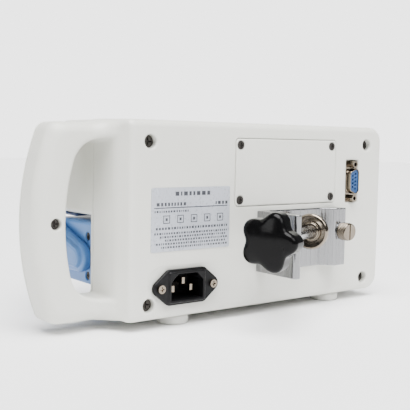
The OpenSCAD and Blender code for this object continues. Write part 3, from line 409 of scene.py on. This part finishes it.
# ---------------------------------------------------------------- rear shell with the handle
def rear_shell(x, y, z):
    body = prism(rect2(x, z, LEFT, SIDE, LOW, TOP, 11), y, -60, REAR, 4.5)
    slope = 0.915 * (x - 86.0) + 0.4036 * (y - REAR)
    body = both(body, slope, 2.2)
    crown = 0.013 * (np.hypot(x - BOW_X, z - BOW_Z) - 147) ** 2 * np.clip((x - 92) / 25, 0, 1)
    arm = both(prism(handle2(x, z), y + np.minimum(crown, 3.0), -60, HANDLE_REAR, 7), 60 - x)
    d = either(body, arm, 11)
    d = both(d, np.maximum(z - TOP, LOW - z))
    d = minus(d, grip2(x, y, z), 2.6)
    d = minus(d, prism(rect2(x, z, LEFT + WALL, 83, LOW + WALL, TOP - WALL, 8), y, -60, REAR - WALL, 1))
    tube = both(handle2(x, z, WALL), -grip2(x, y, z, WALL))
    hollow = both(prism(tube, y, -60, HANDLE_REAR - WALL, 3), SIDE + 1 - x)
    d = minus(d, hollow)
    for sx, sz in HOUSING_SCREWS:
        def tower(d, x, y, z):
            d = np.minimum(d, prism(disc2(x, z, sx, sz, 6.5), y, SPLIT, REAR - 1))
            d = minus(d, prism(disc2(x, z, sx, sz, 4.3), y, HOUSING_SEAT, 60), 0.9)
            return minus(d, prism(disc2(x, z, sx, sz, 2.2), y, -60, 22))
        d = local(d, x, y, z, (sx - 9, SPLIT - 4, sz - 9), (sx + 9, REAR + 4, sz + 9), tower)

    def handle_tower(d, x, y, z):
        sx, sz = HANDLE_SCREW
        d = np.minimum(d, prism(disc2(x, z, sx, sz, 5), y, -5, HANDLE_REAR - 2))
        d = minus(d, prism(disc2(x, z, sx, sz, 3.5), y, HANDLE_SEAT, 60), 0.9)
        return minus(d, prism(disc2(x, z, sx, sz, 2.2), y, -60, 6))
    d = local(d, x, y, z, (118, SPLIT - 4, 58), (135, HANDLE_REAR + 4, 76), handle_tower)

    def door_seat(d, x, y, z):
        x0, x1, z0, z1 = DOOR_LO[0], DOOR_HI[0], DOOR_LO[2], DOOR_HI[2]
        d = np.minimum(d, prism(rect2(x, z, x0 - 3, x1 + 3, z0 - 3, z1 + 3, 4), y, REAR - 6.1, REAR - 1.5))
        seat = rect2(x, z, x0 - 0.35, x1 + 0.35, z0 - 0.35, z1 + 0.35, 2.8)
        d = minus(d, prism(seat, y, REAR - 2.8, 60), 0.7)
        return minus(d, prism(rect2(x, z, x0 + 9, x1 - 9, z0 + 3, z1 - 3, 2), y, -60, 60))
    d = local(d, x, y, z, (DOOR_LO[0] - 8, REAR - 9, DOOR_LO[2] - 8),
              (DOOR_HI[0] + 8, REAR + 4, DOOR_HI[2] + 8), door_seat)

    def inlet_hole(d, x, y, z):
        seat = both(rect2(x, z, INLET_X - 27, INLET_X + 27, INLET_Z - 12.5, INLET_Z + 12.5, 9), y * 0 - 1)
        d = minus(d, prism(seat, y, REAR - 0.01, 60), 0.8)
        hole = rect2(x, z, INLET_X - 14, INLET_X + 14, INLET_Z - 10.2, INLET_Z + 10.2, 2)
        return minus(d, prism(hole, y, -60, 60))
    d = local(d, x, y, z, (INLET_X - 32, REAR - 9, INLET_Z - 16),
              (INLET_X + 32, REAR + 4, INLET_Z + 16), inlet_hole)

    def serial_hole(d, x, y, z):
        window = rect2(x, z, SERIAL_X - 6.6, SERIAL_X + 6.6, SERIAL_Z - 15.7, SERIAL_Z + 15.7, 0.8)
        d = minus(d, prism(window, y, REAR - 2.4, 60), 0.6)
        inner = rect2(x, z, SERIAL_X - 5.2, SERIAL_X + 5.2, SERIAL_Z - 9.4, SERIAL_Z + 9.4, 1)
        return minus(d, prism(inner, y, -60, 60))
    d = local(d, x, y, z, (SERIAL_X - 12, REAR - 9, SERIAL_Z - 20),
              (SERIAL_X + 12, REAR + 4, SERIAL_Z + 20), serial_hole)
    return both(d, SPLIT + 0.12 - y, 1.3)


# ---------------------------------------------------------------- front shell
KEY_SPOTS = {n: span(n) for n in ("key_start", "key_hold", "key_bolus", "key_mute",
                                  "key_fast_up", "key_up", "key_down", "key_fast_down")}


def front_shell(x, y, z):
    display = both(prism(display2(x, z), y, DISPLAY_Y, 60, 4), side_cut(x, y, z), 9)
    block = prism(rect2(x, z, LEFT, BLOCK_RIGHT, LOW, 86, 11), y, BLOCK_Y, 60, 2.5)
    ledge = prism(rect2(x, z, LEFT, LEDGE_RIGHT, LOW, LEDGE_TOP, 4), y, LEDGE_Y, 20, 3)
    rack = prism(rect2(x, z, 25, LEDGE_RIGHT, 15, 38, 1.2), y, LEDGE_Y, -40, 1.2)
    d = either(either(display, block, 3), either(ledge, rack, 1.5), 2)
    d = minus(d, np.hypot(y + 72, z - 42) - 16, 1.0)
    slot = np.maximum(np.abs(x - 33.3) - 2.3, np.maximum(np.abs(z - 38) - 12.5, np.abs(y + 76) - 20))
    d = minus(d, slot, 0.6)
    inner = prism(display2(x, z, WALL), y, DISPLAY_Y + WALL, 60, 1)
    inner = both(inner, side_cut(x, y, z, WALL), 6)
    inner = minus(inner, prism(grip2(x, y, z, WALL), y, -31, 70, 10))
    d = minus(d, inner)
    block_room = rect2(x, z, LEFT + WALL, BLOCK_RIGHT - WALL, LOW + WALL, 78, 8)
    d = minus(d, prism(block_room, y, BLOCK_Y + WALL, 60, 1))
    d = minus(d, prism(rect2(x, z, LEFT + 8, LEDGE_RIGHT - WALL, LOW + WALL, 23, 1), y, -81, -52))
    bay = prism(both(rect2(x, z, 30, SIDE, LOW, 90, 11), 47 - x), y, HANDLE_FRONT, 60, 0.8)
    arm = both(prism(handle2(x, z), y, HANDLE_FRONT, 60, 2.5), 88 - x)
    skin = np.minimum(bay, arm)
    skin = both(skin, y - SPLIT)
    d = np.minimum(d, skin)
    d = minus(d, prism(grip2(x, y, z), y, -28, 70, 8), 1.5)
    d = both(d, np.maximum(z - TOP, LOW - z))
    for i, (sx, sz) in enumerate(HOUSING_SCREWS):
        y0 = (-82, -18.5, DISPLAY_Y + 2, DISPLAY_Y + 2)[i]
        def column(d, x, y, z):
            d = np.minimum(d, prism(disc2(x, z, sx, sz, 5), y, y0, SPLIT))
            return minus(d, prism(disc2(x, z, sx, sz, 2.02), y, -17, 60))
        d = local(d, x, y, z, (sx - 8, y0 - 2, sz - 8), (sx + 8, 4, sz + 8), column)

    def handle_column(d, x, y, z):
        sx, sz = HANDLE_SCREW
        d = np.minimum(d, prism(disc2(x, z, sx, sz, 3.6), y, HANDLE_FRONT + 0.5, 60))
        return minus(d, prism(disc2(x, z, sx, sz, 2.02), y, -14, 60))
    d = local(d, x, y, z, (120, -16, 60), (133, 0, 74), handle_column)

    def windows(d, x, y, z):
        cut = rect2(x, z, -97, -5, 81, 119, 2)
        for lo, hi in KEY_SPOTS.values():
            cut = np.minimum(cut, rect2(x, z, lo[0] + 1, hi[0] - 1, lo[2] + 1, hi[2] - 1, 3))
        return minus(d, prism(cut, y, -90, -70))
    d = local(d, x, y, z, (-101, -80, 76), (110, -71, 122), windows)

    def bush_hole(d, x, y, z):
        return minus(d, prism(disc2(y, z, -43, 40.5, 10.05), x, 44, 60), 0.3)
    d = local(d, x, y, z, (44, -56.5, 28), (53, -28, 54), bush_hole)

    def rod_boss(d, x, y, z):
        d = np.minimum(d, prism(disc2(x, z, -60, 16.5, 7), y, -83, -77))
        return minus(d, prism(disc2(x, z, -60, 16.5, 4.05), y, -90, -60), 0.3)
    d = local(d, x, y, z, (-69, -87, 8), (-51, -75, 25), rod_boss)
    at_screw = (x > HANDLE_SCREW[0] - 6) & (np.abs(z - HANDLE_SCREW[1]) < 6)
    return both(d, y - np.where(at_screw, -5.3, SPLIT - 0.04))


# ---------------------------------------------------------------- other moulded parts
HEAD_LO, HEAD_HI = span("pusher_case")
COVER_LO, COVER_HI = span("pusher_cover")


def head2(y, z, o=0.0):
    return rect2(y, z, HEAD_LO[1] + o, HEAD_HI[1] - o, HEAD_LO[2] + o, HEAD_HI[2] - o, 6 - o)


def pusher_case(x, y, z):
    d = prism(head2(y, z), x, HEAD_LO[0], 100, 2)
    d = minus(d, prism(head2(y, z, 2.5), x, HEAD_LO[0] + 2.5, 120))
    for cy, cz, r in ((-43, 40.5, 7.05), (-62, 56, 3.05), (-62, 26, 3.05)):
        d = minus(d, disc2(y, z, cy, cz, r), 0.3)
    return both(d, x - HEAD_HI[0], 0.6)


def pusher_cover(x, y, z):
    d = prism(head2(y, z), x, 40, COVER_HI[0], 2.2)
    d = both(d, HEAD_HI[0] + 0.05 - x, 0.6)
    for cz in (26, 52.3):
        d = np.minimum(d, prism(disc2(y, z, -38, cz, 3.3), x, COVER_LO[0], 79))
        d = minus(d, prism(disc2(y, z, -38, cz, 3.0), x, 77.4, 90), 0.6)
        d = minus(d, prism(disc2(y, z, -38, cz, 1.7), x, 40, 90))
    return minus(d, disc2(y, z, -43, 40.5, 3.05))


def fan2(y, z, p, q, s, rp, rq, rs):
    """Three round corners joined by straight sides."""
    d = poly2(y, z, [p, q, s])
    for a, b, ra, rb in ((p, q, rp, rq), (q, s, rq, rs), (s, p, rs, rp)):
        d = np.minimum(d, segment2(y, z, a, b, ra, rb))
    return d


def clutch_lever(x, y, z):
    base = fan2(y, z, (-41.5, 38.5), (-76, 56), (-75, 32), 10, 4, 4)
    face = fan2(y, z, (-42.5, 38.8), (-74, 53), (-73, 34.5), 7.3, 3, 3)
    x0 = COVER_HI[0]
    d = prism(base, x, x0 + 0.4, x0 + 6, 1.6)
    d = either(d, prism(face, x, x0 + 3, x0 + 8.6, 2.2), 1.2)
    rim = np.abs(face + 2.2) - 0.35
    d = minus(d, prism(rim, x, x0 + 8.3, 200), 0.3)
    return minus(d, prism(disc2(y, z, -43, 40.5, 3.05), x, 60, 86.05))


CLAMP_TILT = math.radians(24.2)
CLAMP_D = (-math.cos(CLAMP_TILT), -math.sin(CLAMP_TILT))
KNOB = (21.44, 72.49, 56.5)
KNOB_R, KNOB_T, PAD_REACH = 19.2, 15.0, 79.9


def clamp_axis(x, y, z):
    """Along-axis distance from the knob's outer face, and the two directions across it."""
    dx, dy = x - KNOB[0], y - KNOB[1]
    return dx * CLAMP_D[0] + dy * CLAMP_D[1], dx * CLAMP_D[1] - dy * CLAMP_D[0], z - KNOB[2]


def clamp_knob(x, y, z):
    t, a, b = clamp_axis(x, y, z)
    star = disc2(a, b, 0, 0, KNOB_R * 0.72)
    for i in range(5):
        ang = math.radians(72 * i)
        lobe = disc2(a, b, 0.68 * KNOB_R * math.cos(ang), 0.68 * KNOB_R * math.sin(ang), 0.32 * KNOB_R)
        star = either(star, lobe, 5)
    dome = 0.008 * (a * a + b * b)
    d = prism(star, t - dome, 0.0, KNOB_T - 0.6, 3.1)
    hub = prism(np.hypot(a, b) - 9 + 0.12 * (t - KNOB_T), t, 8, KNOB_T + 5, 1.2)
    d = either(d, hub, 3)
    groove = np.abs(np.hypot(a, b) - 8.4) - 0.3
    d = minus(d, both(groove, np.abs(t) - 0.35), 0.3)
    return minus(d, prism(np.hypot(a, b) - 4.05, t, 5.5, 60))


def clamp_pad(x, y, z):
    t, a, b = clamp_axis(x, y, z)
    r = np.hypot(a, b)
    d = prism(r - 12.4, t, PAD_REACH - 4, PAD_REACH + 1, 1.9)
    d = either(d, prism(r - 10.8, t, PAD_REACH - 1, PAD_REACH + 2.5, 1), 1)
    ball = np.hypot(r, t - (PAD_REACH - 4 + 3.2 - 16)) - 16
    d = minus(d, ball, 1.6)
    d = either(d, prism(r - 6.2, t, PAD_REACH - 3.9, PAD_REACH, 0.8), 1.0)
    return minus(d, prism(r - 4.05, t, 60, PAD_REACH + 0.05))


THUMB_LO, THUMB_HI = span("thumbscrew")
THUMB = ((THUMB_LO[0] + THUMB_HI[0]) / 2, (THUMB_LO[2] + THUMB_HI[2]) / 2)


def thumbscrew(x, y, z):
    dx, dz = x - THUMB[0], z - THUMB[1]
    r, a = np.hypot(dx, dz), np.arctan2(dz, dx)
    knurl = 0.32 * np.abs(np.sin(14 * a + 2.1 * y)) + 0.32 * np.abs(np.sin(14 * a - 2.1 * y)) - 0.32
    band = np.clip((np.minimum(y - 37.9, 44.2 - y)) * 2, 0, 1)
    d = prism(r - 6.15 - knurl * band, y, 37.1, THUMB_HI[1], 0.7)
    d = minus(d, np.maximum(np.abs(dx) - 0.55, THUMB_HI[1] - 1.0 - y), 0.2)
    return np.minimum(d, prism(r - 3, y, THUMB_LO[1], 38))


BRACKET_LO, BRACKET_HI = span("clamp_bracket")
BRACKET_SCREWS = [(-28, 36), (-28, 66), (-61, 55.5)]


def clamp_bracket(x, y, z):
    x0, x1 = BRACKET_LO[0], BRACKET_HI[0]
    outline = [(x0, REAR + 0.05), (x1, REAR + 0.05), (x1, 60), (x1 - 6, 60), (x1 - 6, 31),
               (x1 - 9.5, REAR + 2.5), (-72, REAR + 2.5), (-80, 35.5), (x0, 35.5)]
    flat = poly2(x, y, outline)
    flat = np.minimum(flat, disc2(x, y, x1 - 3, 60, 3))
    for gx in (-83.0, -87.0):
        flat = minus(flat, disc2(x, y, gx, 35.9, 0.7), 0.3)
    for gx, gy in ((-74, 30.0), (-77.2, 33.4)):
        flat = minus(flat, disc2(x, y, gx + 0.3, gy + 0.1, 0.6), 0.3)
    d = prism(flat, z, BRACKET_LO[2], BRACKET_HI[2], 0.35)
    t, a, b = clamp_axis(x, y, z)
    d = minus(d, both(np.hypot(a, b) - 4.05, np.abs(t - 37) - 12), 0.4)
    d = minus(d, both(disc2(x, z, THUMB[0], THUMB[1], 3.05), 25.8 - y), 0.4)
    for sx, sz in BRACKET_SCREWS:
        d = minus(d, disc2(x, z, sx, sz, 2.15), 0.2)
    return d


def battery_door(x, y, z):
    outline = rect2(x, z, DOOR_LO[0], DOOR_HI[0], DOOR_LO[2], DOOR_HI[2], 2.5)
    d = prism(outline, y, DOOR_LO[1] - 2, DOOR_HI[1], 0.7)
    d = both(d, DOOR_LO[1] - y)
    for sx, sz in DOOR_SCREWS:
        d = minus(d, prism(disc2(x, z, sx, sz, 3.0), y, REAR - 1.2, 60), 0.5)
        d = minus(d, disc2(x, z, sx, sz, 1.7))
    return d


def inlet_body(x, y, z):
    u, v = np.abs(x - INLET_X), np.abs(z - INLET_Z)
    ear = np.where(v < (u - 20) * 1.234, disc2(u, v, 20, 0, 5), -5.0)
    plate = both(both(v - 11.3, u * 0.6296 + v * 0.7769 - 17.59, 1), ear)
    d = prism(plate, y, REAR + 0.05, REAR + 3, 0.8)
    d = either(d, prism(rect2(u, v, -14, 14, -9.8, 9.8, 1.6), y, REAR + 1, REAR + 4, 0.7), 0.6)
    d = np.minimum(d, prism(rect2(u, v, -13.6, 13.6, -9.8, 9.8, 1.5), y, 3, REAR + 2, 0.6))
    w = z - INLET_Z
    mouth = np.maximum(u - 12.2, np.abs(w) - 8.2)
    mouth = both(mouth, (u - 12.2 + w - 3.4) * 0.7071, 0.5)
    d = minus(d, prism(mouth, y, 11, 60), 0.8)
    d = minus(d, both(disc2(u, v, 20, 0, 1.7), REAR - y))
    for s in (-7, 7):
        d = minus(d, np.maximum(np.abs(x - INLET_X - s) - 1.02, np.maximum(np.abs(w + 2) - 2.02, y - 14)))
    return minus(d, np.maximum(np.abs(x - INLET_X) - 1.02, np.maximum(np.abs(w - 3) - 2.02, y - 14)))


def socket2(x, z, o=0.0):
    """D outline of the serial socket with round corners, standing on end."""
    core = [(-1.5, -6.0), (1.5, -4.7), (1.5, 4.7), (-1.5, 6.0)]
    return poly2(x - SERIAL_X, z - SERIAL_Z, core) - 2.5 - o


def serial_shell(x, y, z):
    plate = rect2(x, z, SERIAL_LO[0], SERIAL_HI[0], SERIAL_LO[2], SERIAL_HI[2], 1.6)
    d = prism(plate, y, SERIAL_LO[1], SERIAL_LO[1] + 1.15, 0.3)
    d = either(d, prism(socket2(x, z, 0.8), y, SERIAL_LO[1] + 0.2, SERIAL_HI[1], 0.25), 0.4)
    d = minus(d, socket2(x, z, 0.2))
    return minus(d, np.hypot(x - SERIAL_X, np.abs(z - SERIAL_Z) - 12.5) - 1.9)


def serial_insert(x, y, z):
    d = prism(socket2(x, z, 0.15), y, SERIAL_LO[1] - 1, SERIAL_HI[1] - 0.6, 0.4)
    back = rect2(x, z, SERIAL_X - 5, SERIAL_X + 5, SERIAL_Z - 9.2, SERIAL_Z + 9.2, 1)
    d = np.minimum(d, prism(back, y, 10, SERIAL_LO[1] - 0.03))
    for column, rows in ((-1.42, (-2, -1, 0, 1, 2)), (1.42, (-1.5, -0.5, 0.5, 1.5))):
        for row in rows:
            pin = np.hypot(x - SERIAL_X - column, z - SERIAL_Z - 2.74 * row) - 0.85
            d = minus(d, prism(pin, y, SERIAL_HI[1] - 6, 60))
    return d


def feet(x, y, z):
    d = np.full(x.shape, 1e3)
    for fx, fy in FEET:
        r = np.hypot(x - fx, y - fy)
        foot = prism(r - 10.5 + 0.10 * np.abs(z - 3.5), z, 0.0, LOW, 1.3)
        foot = minus(foot, prism(r - 4.2, z, -9, 3.4), 0.6)
        foot = minus(foot, r - 2.1)
        d = np.minimum(d, foot)
    return d


def front_fascia(x, y, z):
    panel = both(display2(x, z, 3.5), side_cut(x, y * 0 + DISPLAY_Y - 3, z, 3.5), 8)
    panel = np.minimum(panel, rect2(x, z, -120, 76, DISPLAY_LOW - 2.4, DISPLAY_LOW + 12, 2))
    cut = rect2(x, z, -97, -5, 81, 119, 2)
    for lo, hi in KEY_SPOTS.values():
        cut = np.minimum(cut, rect2(x, z, lo[0] + 1, hi[0] - 1, lo[2] + 1, hi[2] - 1, 3))
    d = prism(panel, y, DISPLAY_Y - 3, -60, 1.2)
    d = both(d, y - (DISPLAY_Y - 0.05))
    d = minus(d, cut, 0.5)
    lip = prism(rect2(x, z, -60, 76, DISPLAY_LOW - 2.4, DISPLAY_LOW - 0.2, 0.8), y, DISPLAY_Y - 2, -62, 0.8)
    return np.minimum(d, lip)


BIG = 0.8
MOULDED = [
    ("rear_shell", rear_shell, "housing", "housing", BIG),
    ("front_shell", front_shell, "housing", "housing", BIG),
    ("front_fascia", front_fascia, "housing", "fascia", 0.9),
    ("battery_door", battery_door, "housing", "housing", 0.6),
    ("inlet_body", inlet_body, "housing", "black_matt", 0.4),
    ("serial_shell", serial_shell, "housing", "nickel", 0.28),
    ("serial_insert", serial_insert, "housing", "serial_blue", 0.3),
    ("feet", feet, "housing", "foot", 0.7),
    ("clamp_bracket", clamp_bracket, "housing", "aluminium", 0.45),
    ("pusher_case", pusher_case, "drive_head", "pale_blue", 0.7),
    ("pusher_cover", pusher_cover, "drive_head", "pale_blue", 0.5),
    ("clutch_lever", clutch_lever, "lever", "pale_blue", 0.4),
    ("clamp_knob", clamp_knob, "knob", "black_plastic", 0.5),
    ("clamp_pad", clamp_pad, "pad", "nickel", 0.4),
    ("thumbscrew", thumbscrew, "thumb", "nickel", 0.22),
]
for node, shape, body, slot, cell in MOULDED:
    lo, hi = span(node)
    piece = surface(node + "_moulded", shape, lo, hi, cell)
    stand_in(paint(piece, slot), body, slot, node)

# ---------------------------------------------------------------- print and marks
def plates(name, outlines, y, thick, body, paint_as):
    """Thin printed shapes, each a list of (x, z) corners in mm, standing off the plane y towards its sign."""
    bm = bmesh.new()
    out = 1 if thick > 0 else -1
    for corners in outlines:
        front = [bm.verts.new((x * MM, (y + thick) * MM, z * MM)) for x, z in corners]
        back = [bm.verts.new((x * MM, y * MM, z * MM)) for x, z in corners]
        bm.faces.new(front if out < 0 else front[::-1])
        bm.faces.new(back[::-1] if out < 0 else back)
        n = len(corners)
        for i in range(n):
            j = (i + 1) % n
            side = (front[i], back[i], back[j], front[j])
            bm.faces.new(side if out < 0 else side[::-1])
    bmesh.ops.recalc_face_normals(bm, faces=bm.faces)
    me = bpy.data.meshes.new(name)
    bm.to_mesh(me)
    ob = bpy.data.objects.new(name, me)
    bpy.context.scene.collection.objects.link(ob)
    me.materials.append(MAT[paint_as])
    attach(ob, body)
    return ob


def bar(x0, x1, z0, z1):
    return [(x0, z0), (x1, z0), (x1, z1), (x0, z1)]


def frame_bars(x0, x1, z0, z1, t=0.22):
    return [bar(x0, x1, z1 - t, z1), bar(x0, x1, z0, z0 + t),
            bar(x0, x0 + t, z0, z1), bar(x1 - t, x1, z0, z1)]


def dashes(x_from, x_to, z, height, rng, longest):
    """A line of blank dashes that stands for a line of print."""
    out, x = [], x_from
    while x < x_to - 1:
        w = min(rng.uniform(0.35, 1.0) * longest, x_to - x)
        out.append(bar(x, x + w, z, z + height))
        x += w + 0.35 * height + 0.35
    return out


rng = np.random.default_rng(7)
LAB_LO, LAB_HI = span("rating_label")
left, right_, low, top_ = LAB_LO[0] + 2, LAB_HI[0] - 2, LAB_LO[2], LAB_HI[2]
marks = dashes(right_ - 43, right_ - 15, top_ - 5.2, 2.6, rng, 3.2)
marks += dashes(right_ - 24, right_, top_ - 11.4, 2.1, rng, 2.2)
marks += dashes(left, left + 12, top_ - 11.4, 2.0, rng, 2.2)
marks += [bar(left, right_, top_ - 12.8, top_ - 12.2)]
marks += dashes(right_ - 26, right_, top_ - 15.4, 1.3, rng, 1.6)
for i in range(5):
    x = left + 3.5 + 10.5 * i
    marks += frame_bars(x, x + 5, top_ - 22.2, top_ - 17.2, 0.5)
    marks += [bar(x + 1.7, x + 3.3, top_ - 20.6, top_ - 18.8)]
marks += dashes(left, right_, low + 13.6, 1.5, rng, 1.8)
for i in range(5):
    marks += dashes(left + 1.5 * (i % 2), right_ - 4 * (i % 3), low + 10.6 - 2.15 * i, 1.25, rng, 1.6)
plates("label_print", marks, LAB_HI[1], 0.03, "housing", "ink")

LCD_LO, LCD_HI = span("display_window")
SCREEN_Y = -76.52
x0, x1, z0, z1 = LCD_LO[0] + 5, LCD_HI[0] - 5, LCD_LO[2] + 4, LCD_HI[2] - 4
screen = [bar(x0, x1, z1 - 5.6, z1 - 5.2), bar(x0, x1, z0 + 5.2, z0 + 5.6)]
screen += frame_bars(x1 - 9, x1 - 1, z1 - 3.8, z1 - 0.4, 0.4)
screen += [bar(x1 - 8.2 + 2.4 * i, x1 - 6.6 + 2.4 * i, z1 - 3, z1 - 1.2) for i in range(3)]
for i in range(4):
    x = x0 + 8 + 9.5 * i + (3 if i > 1 else 0)
    screen += frame_bars(x, x + 6, z0 + 8.5, z0 + 19.5, 1.3)
screen += [bar(x0 + 26.2, x0 + 27.8, z0 + 8.5, z0 + 10.1)]
screen += frame_bars(x0 + 54, x1 - 2, z0 + 10, z0 + 16, 0.4) + [bar(x0 + 55, x0 + 68, z0 + 11, z0 + 15)]
screen += dashes(x0, x0 + 40, z0 + 1.5, 2.2, rng, 5) + dashes(x1 - 24, x1, z0 + 1.5, 2.2, rng, 4)
plates("lcd_marks", screen, SCREEN_Y, -0.03, "housing", "ink")


def ring(cx, cz, r, n=28, a0=0.0, a1=360.0):
    """Corners along a circle, or along an arc from a0 to a1 degrees."""
    angles = [math.radians(a0 + (a1 - a0) * i / n) for i in range(n + (a1 - a0 < 360))]
    return [(cx + r * math.cos(a), cz + r * math.sin(a)) for a in angles]


def arrow(cx, cz, w, h, up):
    return [(cx - w / 2, cz - up * h / 2), (cx + w / 2, cz - up * h / 2), (cx, cz + up * h / 2)]


ICONS = {
    "key_start": lambda x, z: [[(x + 2.2, z - 2.6), (x + 2.2, z + 2.6), (x - 2.8, z)]],
    "key_hold": lambda x, z: [ring(x, z, 2.6)],
    "key_bolus": lambda x, z: [[(x + 3.2 - d, z - 2.3), (x + 3.2 - d, z + 2.3), (x - 0.2 - d, z)]
                               for d in (0, 3.2)],
    "key_mute": lambda x, z: [ring(x, z + 0.4, 2.3, 20, 0, 180), bar(x - 3, x + 3, z - 1.5, z - 0.5),
                              ring(x, z - 2.4, 0.6, 12)],
    "key_fast_up": lambda x, z: [arrow(x, z + d, 4.6, 2.4, 1) for d in (1.5, -1.5)],
    "key_up": lambda x, z: [arrow(x, z, 4.6, 3.2, 1)],
    "key_down": lambda x, z: [arrow(x, z, 4.6, 3.2, -1)],
    "key_fast_down": lambda x, z: [arrow(x, z + d, 4.6, 2.4, -1) for d in (1.5, -1.5)],
}
CAP_STEP, DISH_R = 1.45, 60.0
for key, icon in ICONS.items():
    lo, hi = KEY_SPOTS[key]
    slot = SLOT_OF[key]
    pale = slot in ("key_green", "key_blue", "key_grey", "key_amber")
    cx, cz = (lo[0] + hi[0]) / 2, (lo[2] + hi[2]) / 2

    def cap(x, y, z, lo=lo, hi=hi):
        stem = prism(rect2(x, z, lo[0], hi[0], lo[2], hi[2], 3.4), y, hi[1] - 1, hi[1], 0.3)
        outline = rect2(x, z, lo[0] + CAP_STEP, hi[0] - CAP_STEP, lo[2] + CAP_STEP, hi[2] - CAP_STEP, 2.4)
        top = prism(outline, y, lo[1], hi[1], 0.9)
        off_x, off_z = x - (lo[0] + hi[0]) / 2, z - (lo[2] + hi[2]) / 2
        dish = np.sqrt(off_x ** 2 + off_z ** 2 + (y - lo[1] + DISH_R) ** 2) - DISH_R - 0.35
        return either(minus(top, dish, 0.3), stem, 0.4)
    stand_in(paint(surface(key + "_cap", cap, lo, hi, 0.4), slot), key, slot, key)
    plates(key + "_mark", icon(cx, cz), lo[1] + 0.37, -0.06, key, "label" if pale else "ink")

# ---------------------------------------------------------------- CAD nodes that keep their mesh
REPLACED = {row[0] for row in MOULDED} | set(ICONS)
PAINTED_SHADE_SLOT = {"battery_door_screws": "dark_screw"}     # darker than its slot: painted shade, the dark screw colour standing in for shade
for name, ob in NODES.items():
    if name in REPLACED:
        continue
    paint(ob, PAINTED_SHADE_SLOT.get(name, SLOT_OF[name]))
    ob.data.shade_smooth()
    if name != "barrel_spring":
        bevel = ob.modifiers.new("edge", "BEVEL")
        bevel.width = 0.12 * MM
        bevel.segments = 2
        bevel.limit_method = "ANGLE"
        bevel.angle_limit = math.radians(40)
        bevel.harden_normals = True

# ---------------------------------------------------------------- camera, floor and light
# The camera was fitted to points of the rear face, scaled by the inlet's and socket's standard spacings.
cam_data = bpy.data.cameras.new("camera")
cam_data.lens = 68.3
cam_data.sensor_width = 36.0
cam = bpy.data.objects.new("camera", cam_data)
bpy.context.scene.collection.objects.link(cam)
bpy.context.scene.camera = cam
forward = Vector((-0.6088, -0.7892, -0.0809)).normalized()
right = Vector((-0.7925, 0.6096, 0.0182))
right = (right - right.dot(forward) * forward).normalized()
up = right.cross(forward)
turn = Matrix((right, up, -forward)).transposed().to_4x4()
cam.matrix_world = Matrix.Translation(Vector((332.5, 416.5, 116.5)) * MM) @ turn

floor_mesh = bpy.data.meshes.new("floor")
bm = bmesh.new()
half = 4.0
for cx, cy in ((-half, -half), (half, -half), (half, half), (-half, half)):
    bm.verts.new((cx, cy, 0))
bm.faces.new(bm.verts)
bm.to_mesh(floor_mesh)
floor = bpy.data.objects.new("floor", floor_mesh)
bpy.context.scene.collection.objects.link(floor)
floor_mat = material("floor_white", (0.92, 0.92, 0.92), 0.6, tint=0.004, tint_scale=3)
floor_mesh.materials.append(floor_mat)

SKY, BACKDROP = 0.12, 3.3     # brightness all round, and of the wall behind the object
world = bpy.data.worlds.new("studio")
bpy.context.scene.world = world
world.use_nodes = True
wnt = world.node_tree
sky = wnt.nodes["Background"]
sky.inputs["Color"].default_value = (1.0, 1.0, 1.0, 1)
where = wnt.nodes.new("ShaderNodeTexCoord")
facing = wnt.nodes.new("ShaderNodeVectorMath")
facing.operation = "DOT_PRODUCT"
facing.inputs[1].default_value = (-0.61, -0.79, 0.0)
fade = wnt.nodes.new("ShaderNodeMapRange")
fade.interpolation_type = "SMOOTHSTEP"
for key, value in (("From Min", 0.78), ("From Max", 0.93), ("To Min", SKY), ("To Max", BACKDROP)):
    fade.inputs[key].default_value = value
wnt.links.new(where.outputs["Generated"], facing.inputs[0])
wnt.links.new(facing.outputs["Value"], fade.inputs["Value"])
wnt.links.new(fade.outputs["Result"], sky.inputs["Strength"])


def softbox(name, place, aim, size, power, color=(1, 1, 1)):
    data = bpy.data.lights.new(name, "AREA")
    data.shape = "RECTANGLE"
    data.size, data.size_y = size
    data.energy = power
    data.color = color
    lamp = bpy.data.objects.new(name, data)
    bpy.context.scene.collection.objects.link(lamp)
    lamp.location = place
    lamp.rotation_mode = "QUATERNION"
    lamp.rotation_quaternion = (Vector(aim) - Vector(place)).to_track_quat("-Z", "Y")
    return lamp


softbox("key", (-0.25, 1.15, 0.95), (0, 0, 0.06), (0.8, 0.6), 12)
softbox("side", (1.25, 0.12, 0.36), (0, 0, 0.06), (0.3, 0.34), 1.6)
sun = bpy.data.lights.new("top", "SUN")
sun.energy = 10.5
sun.angle = math.radians(50)
lamp = bpy.data.objects.new("top", sun)
lamp.rotation_euler = (math.radians(-14), math.radians(8), 0)
bpy.context.scene.collection.objects.link(lamp)
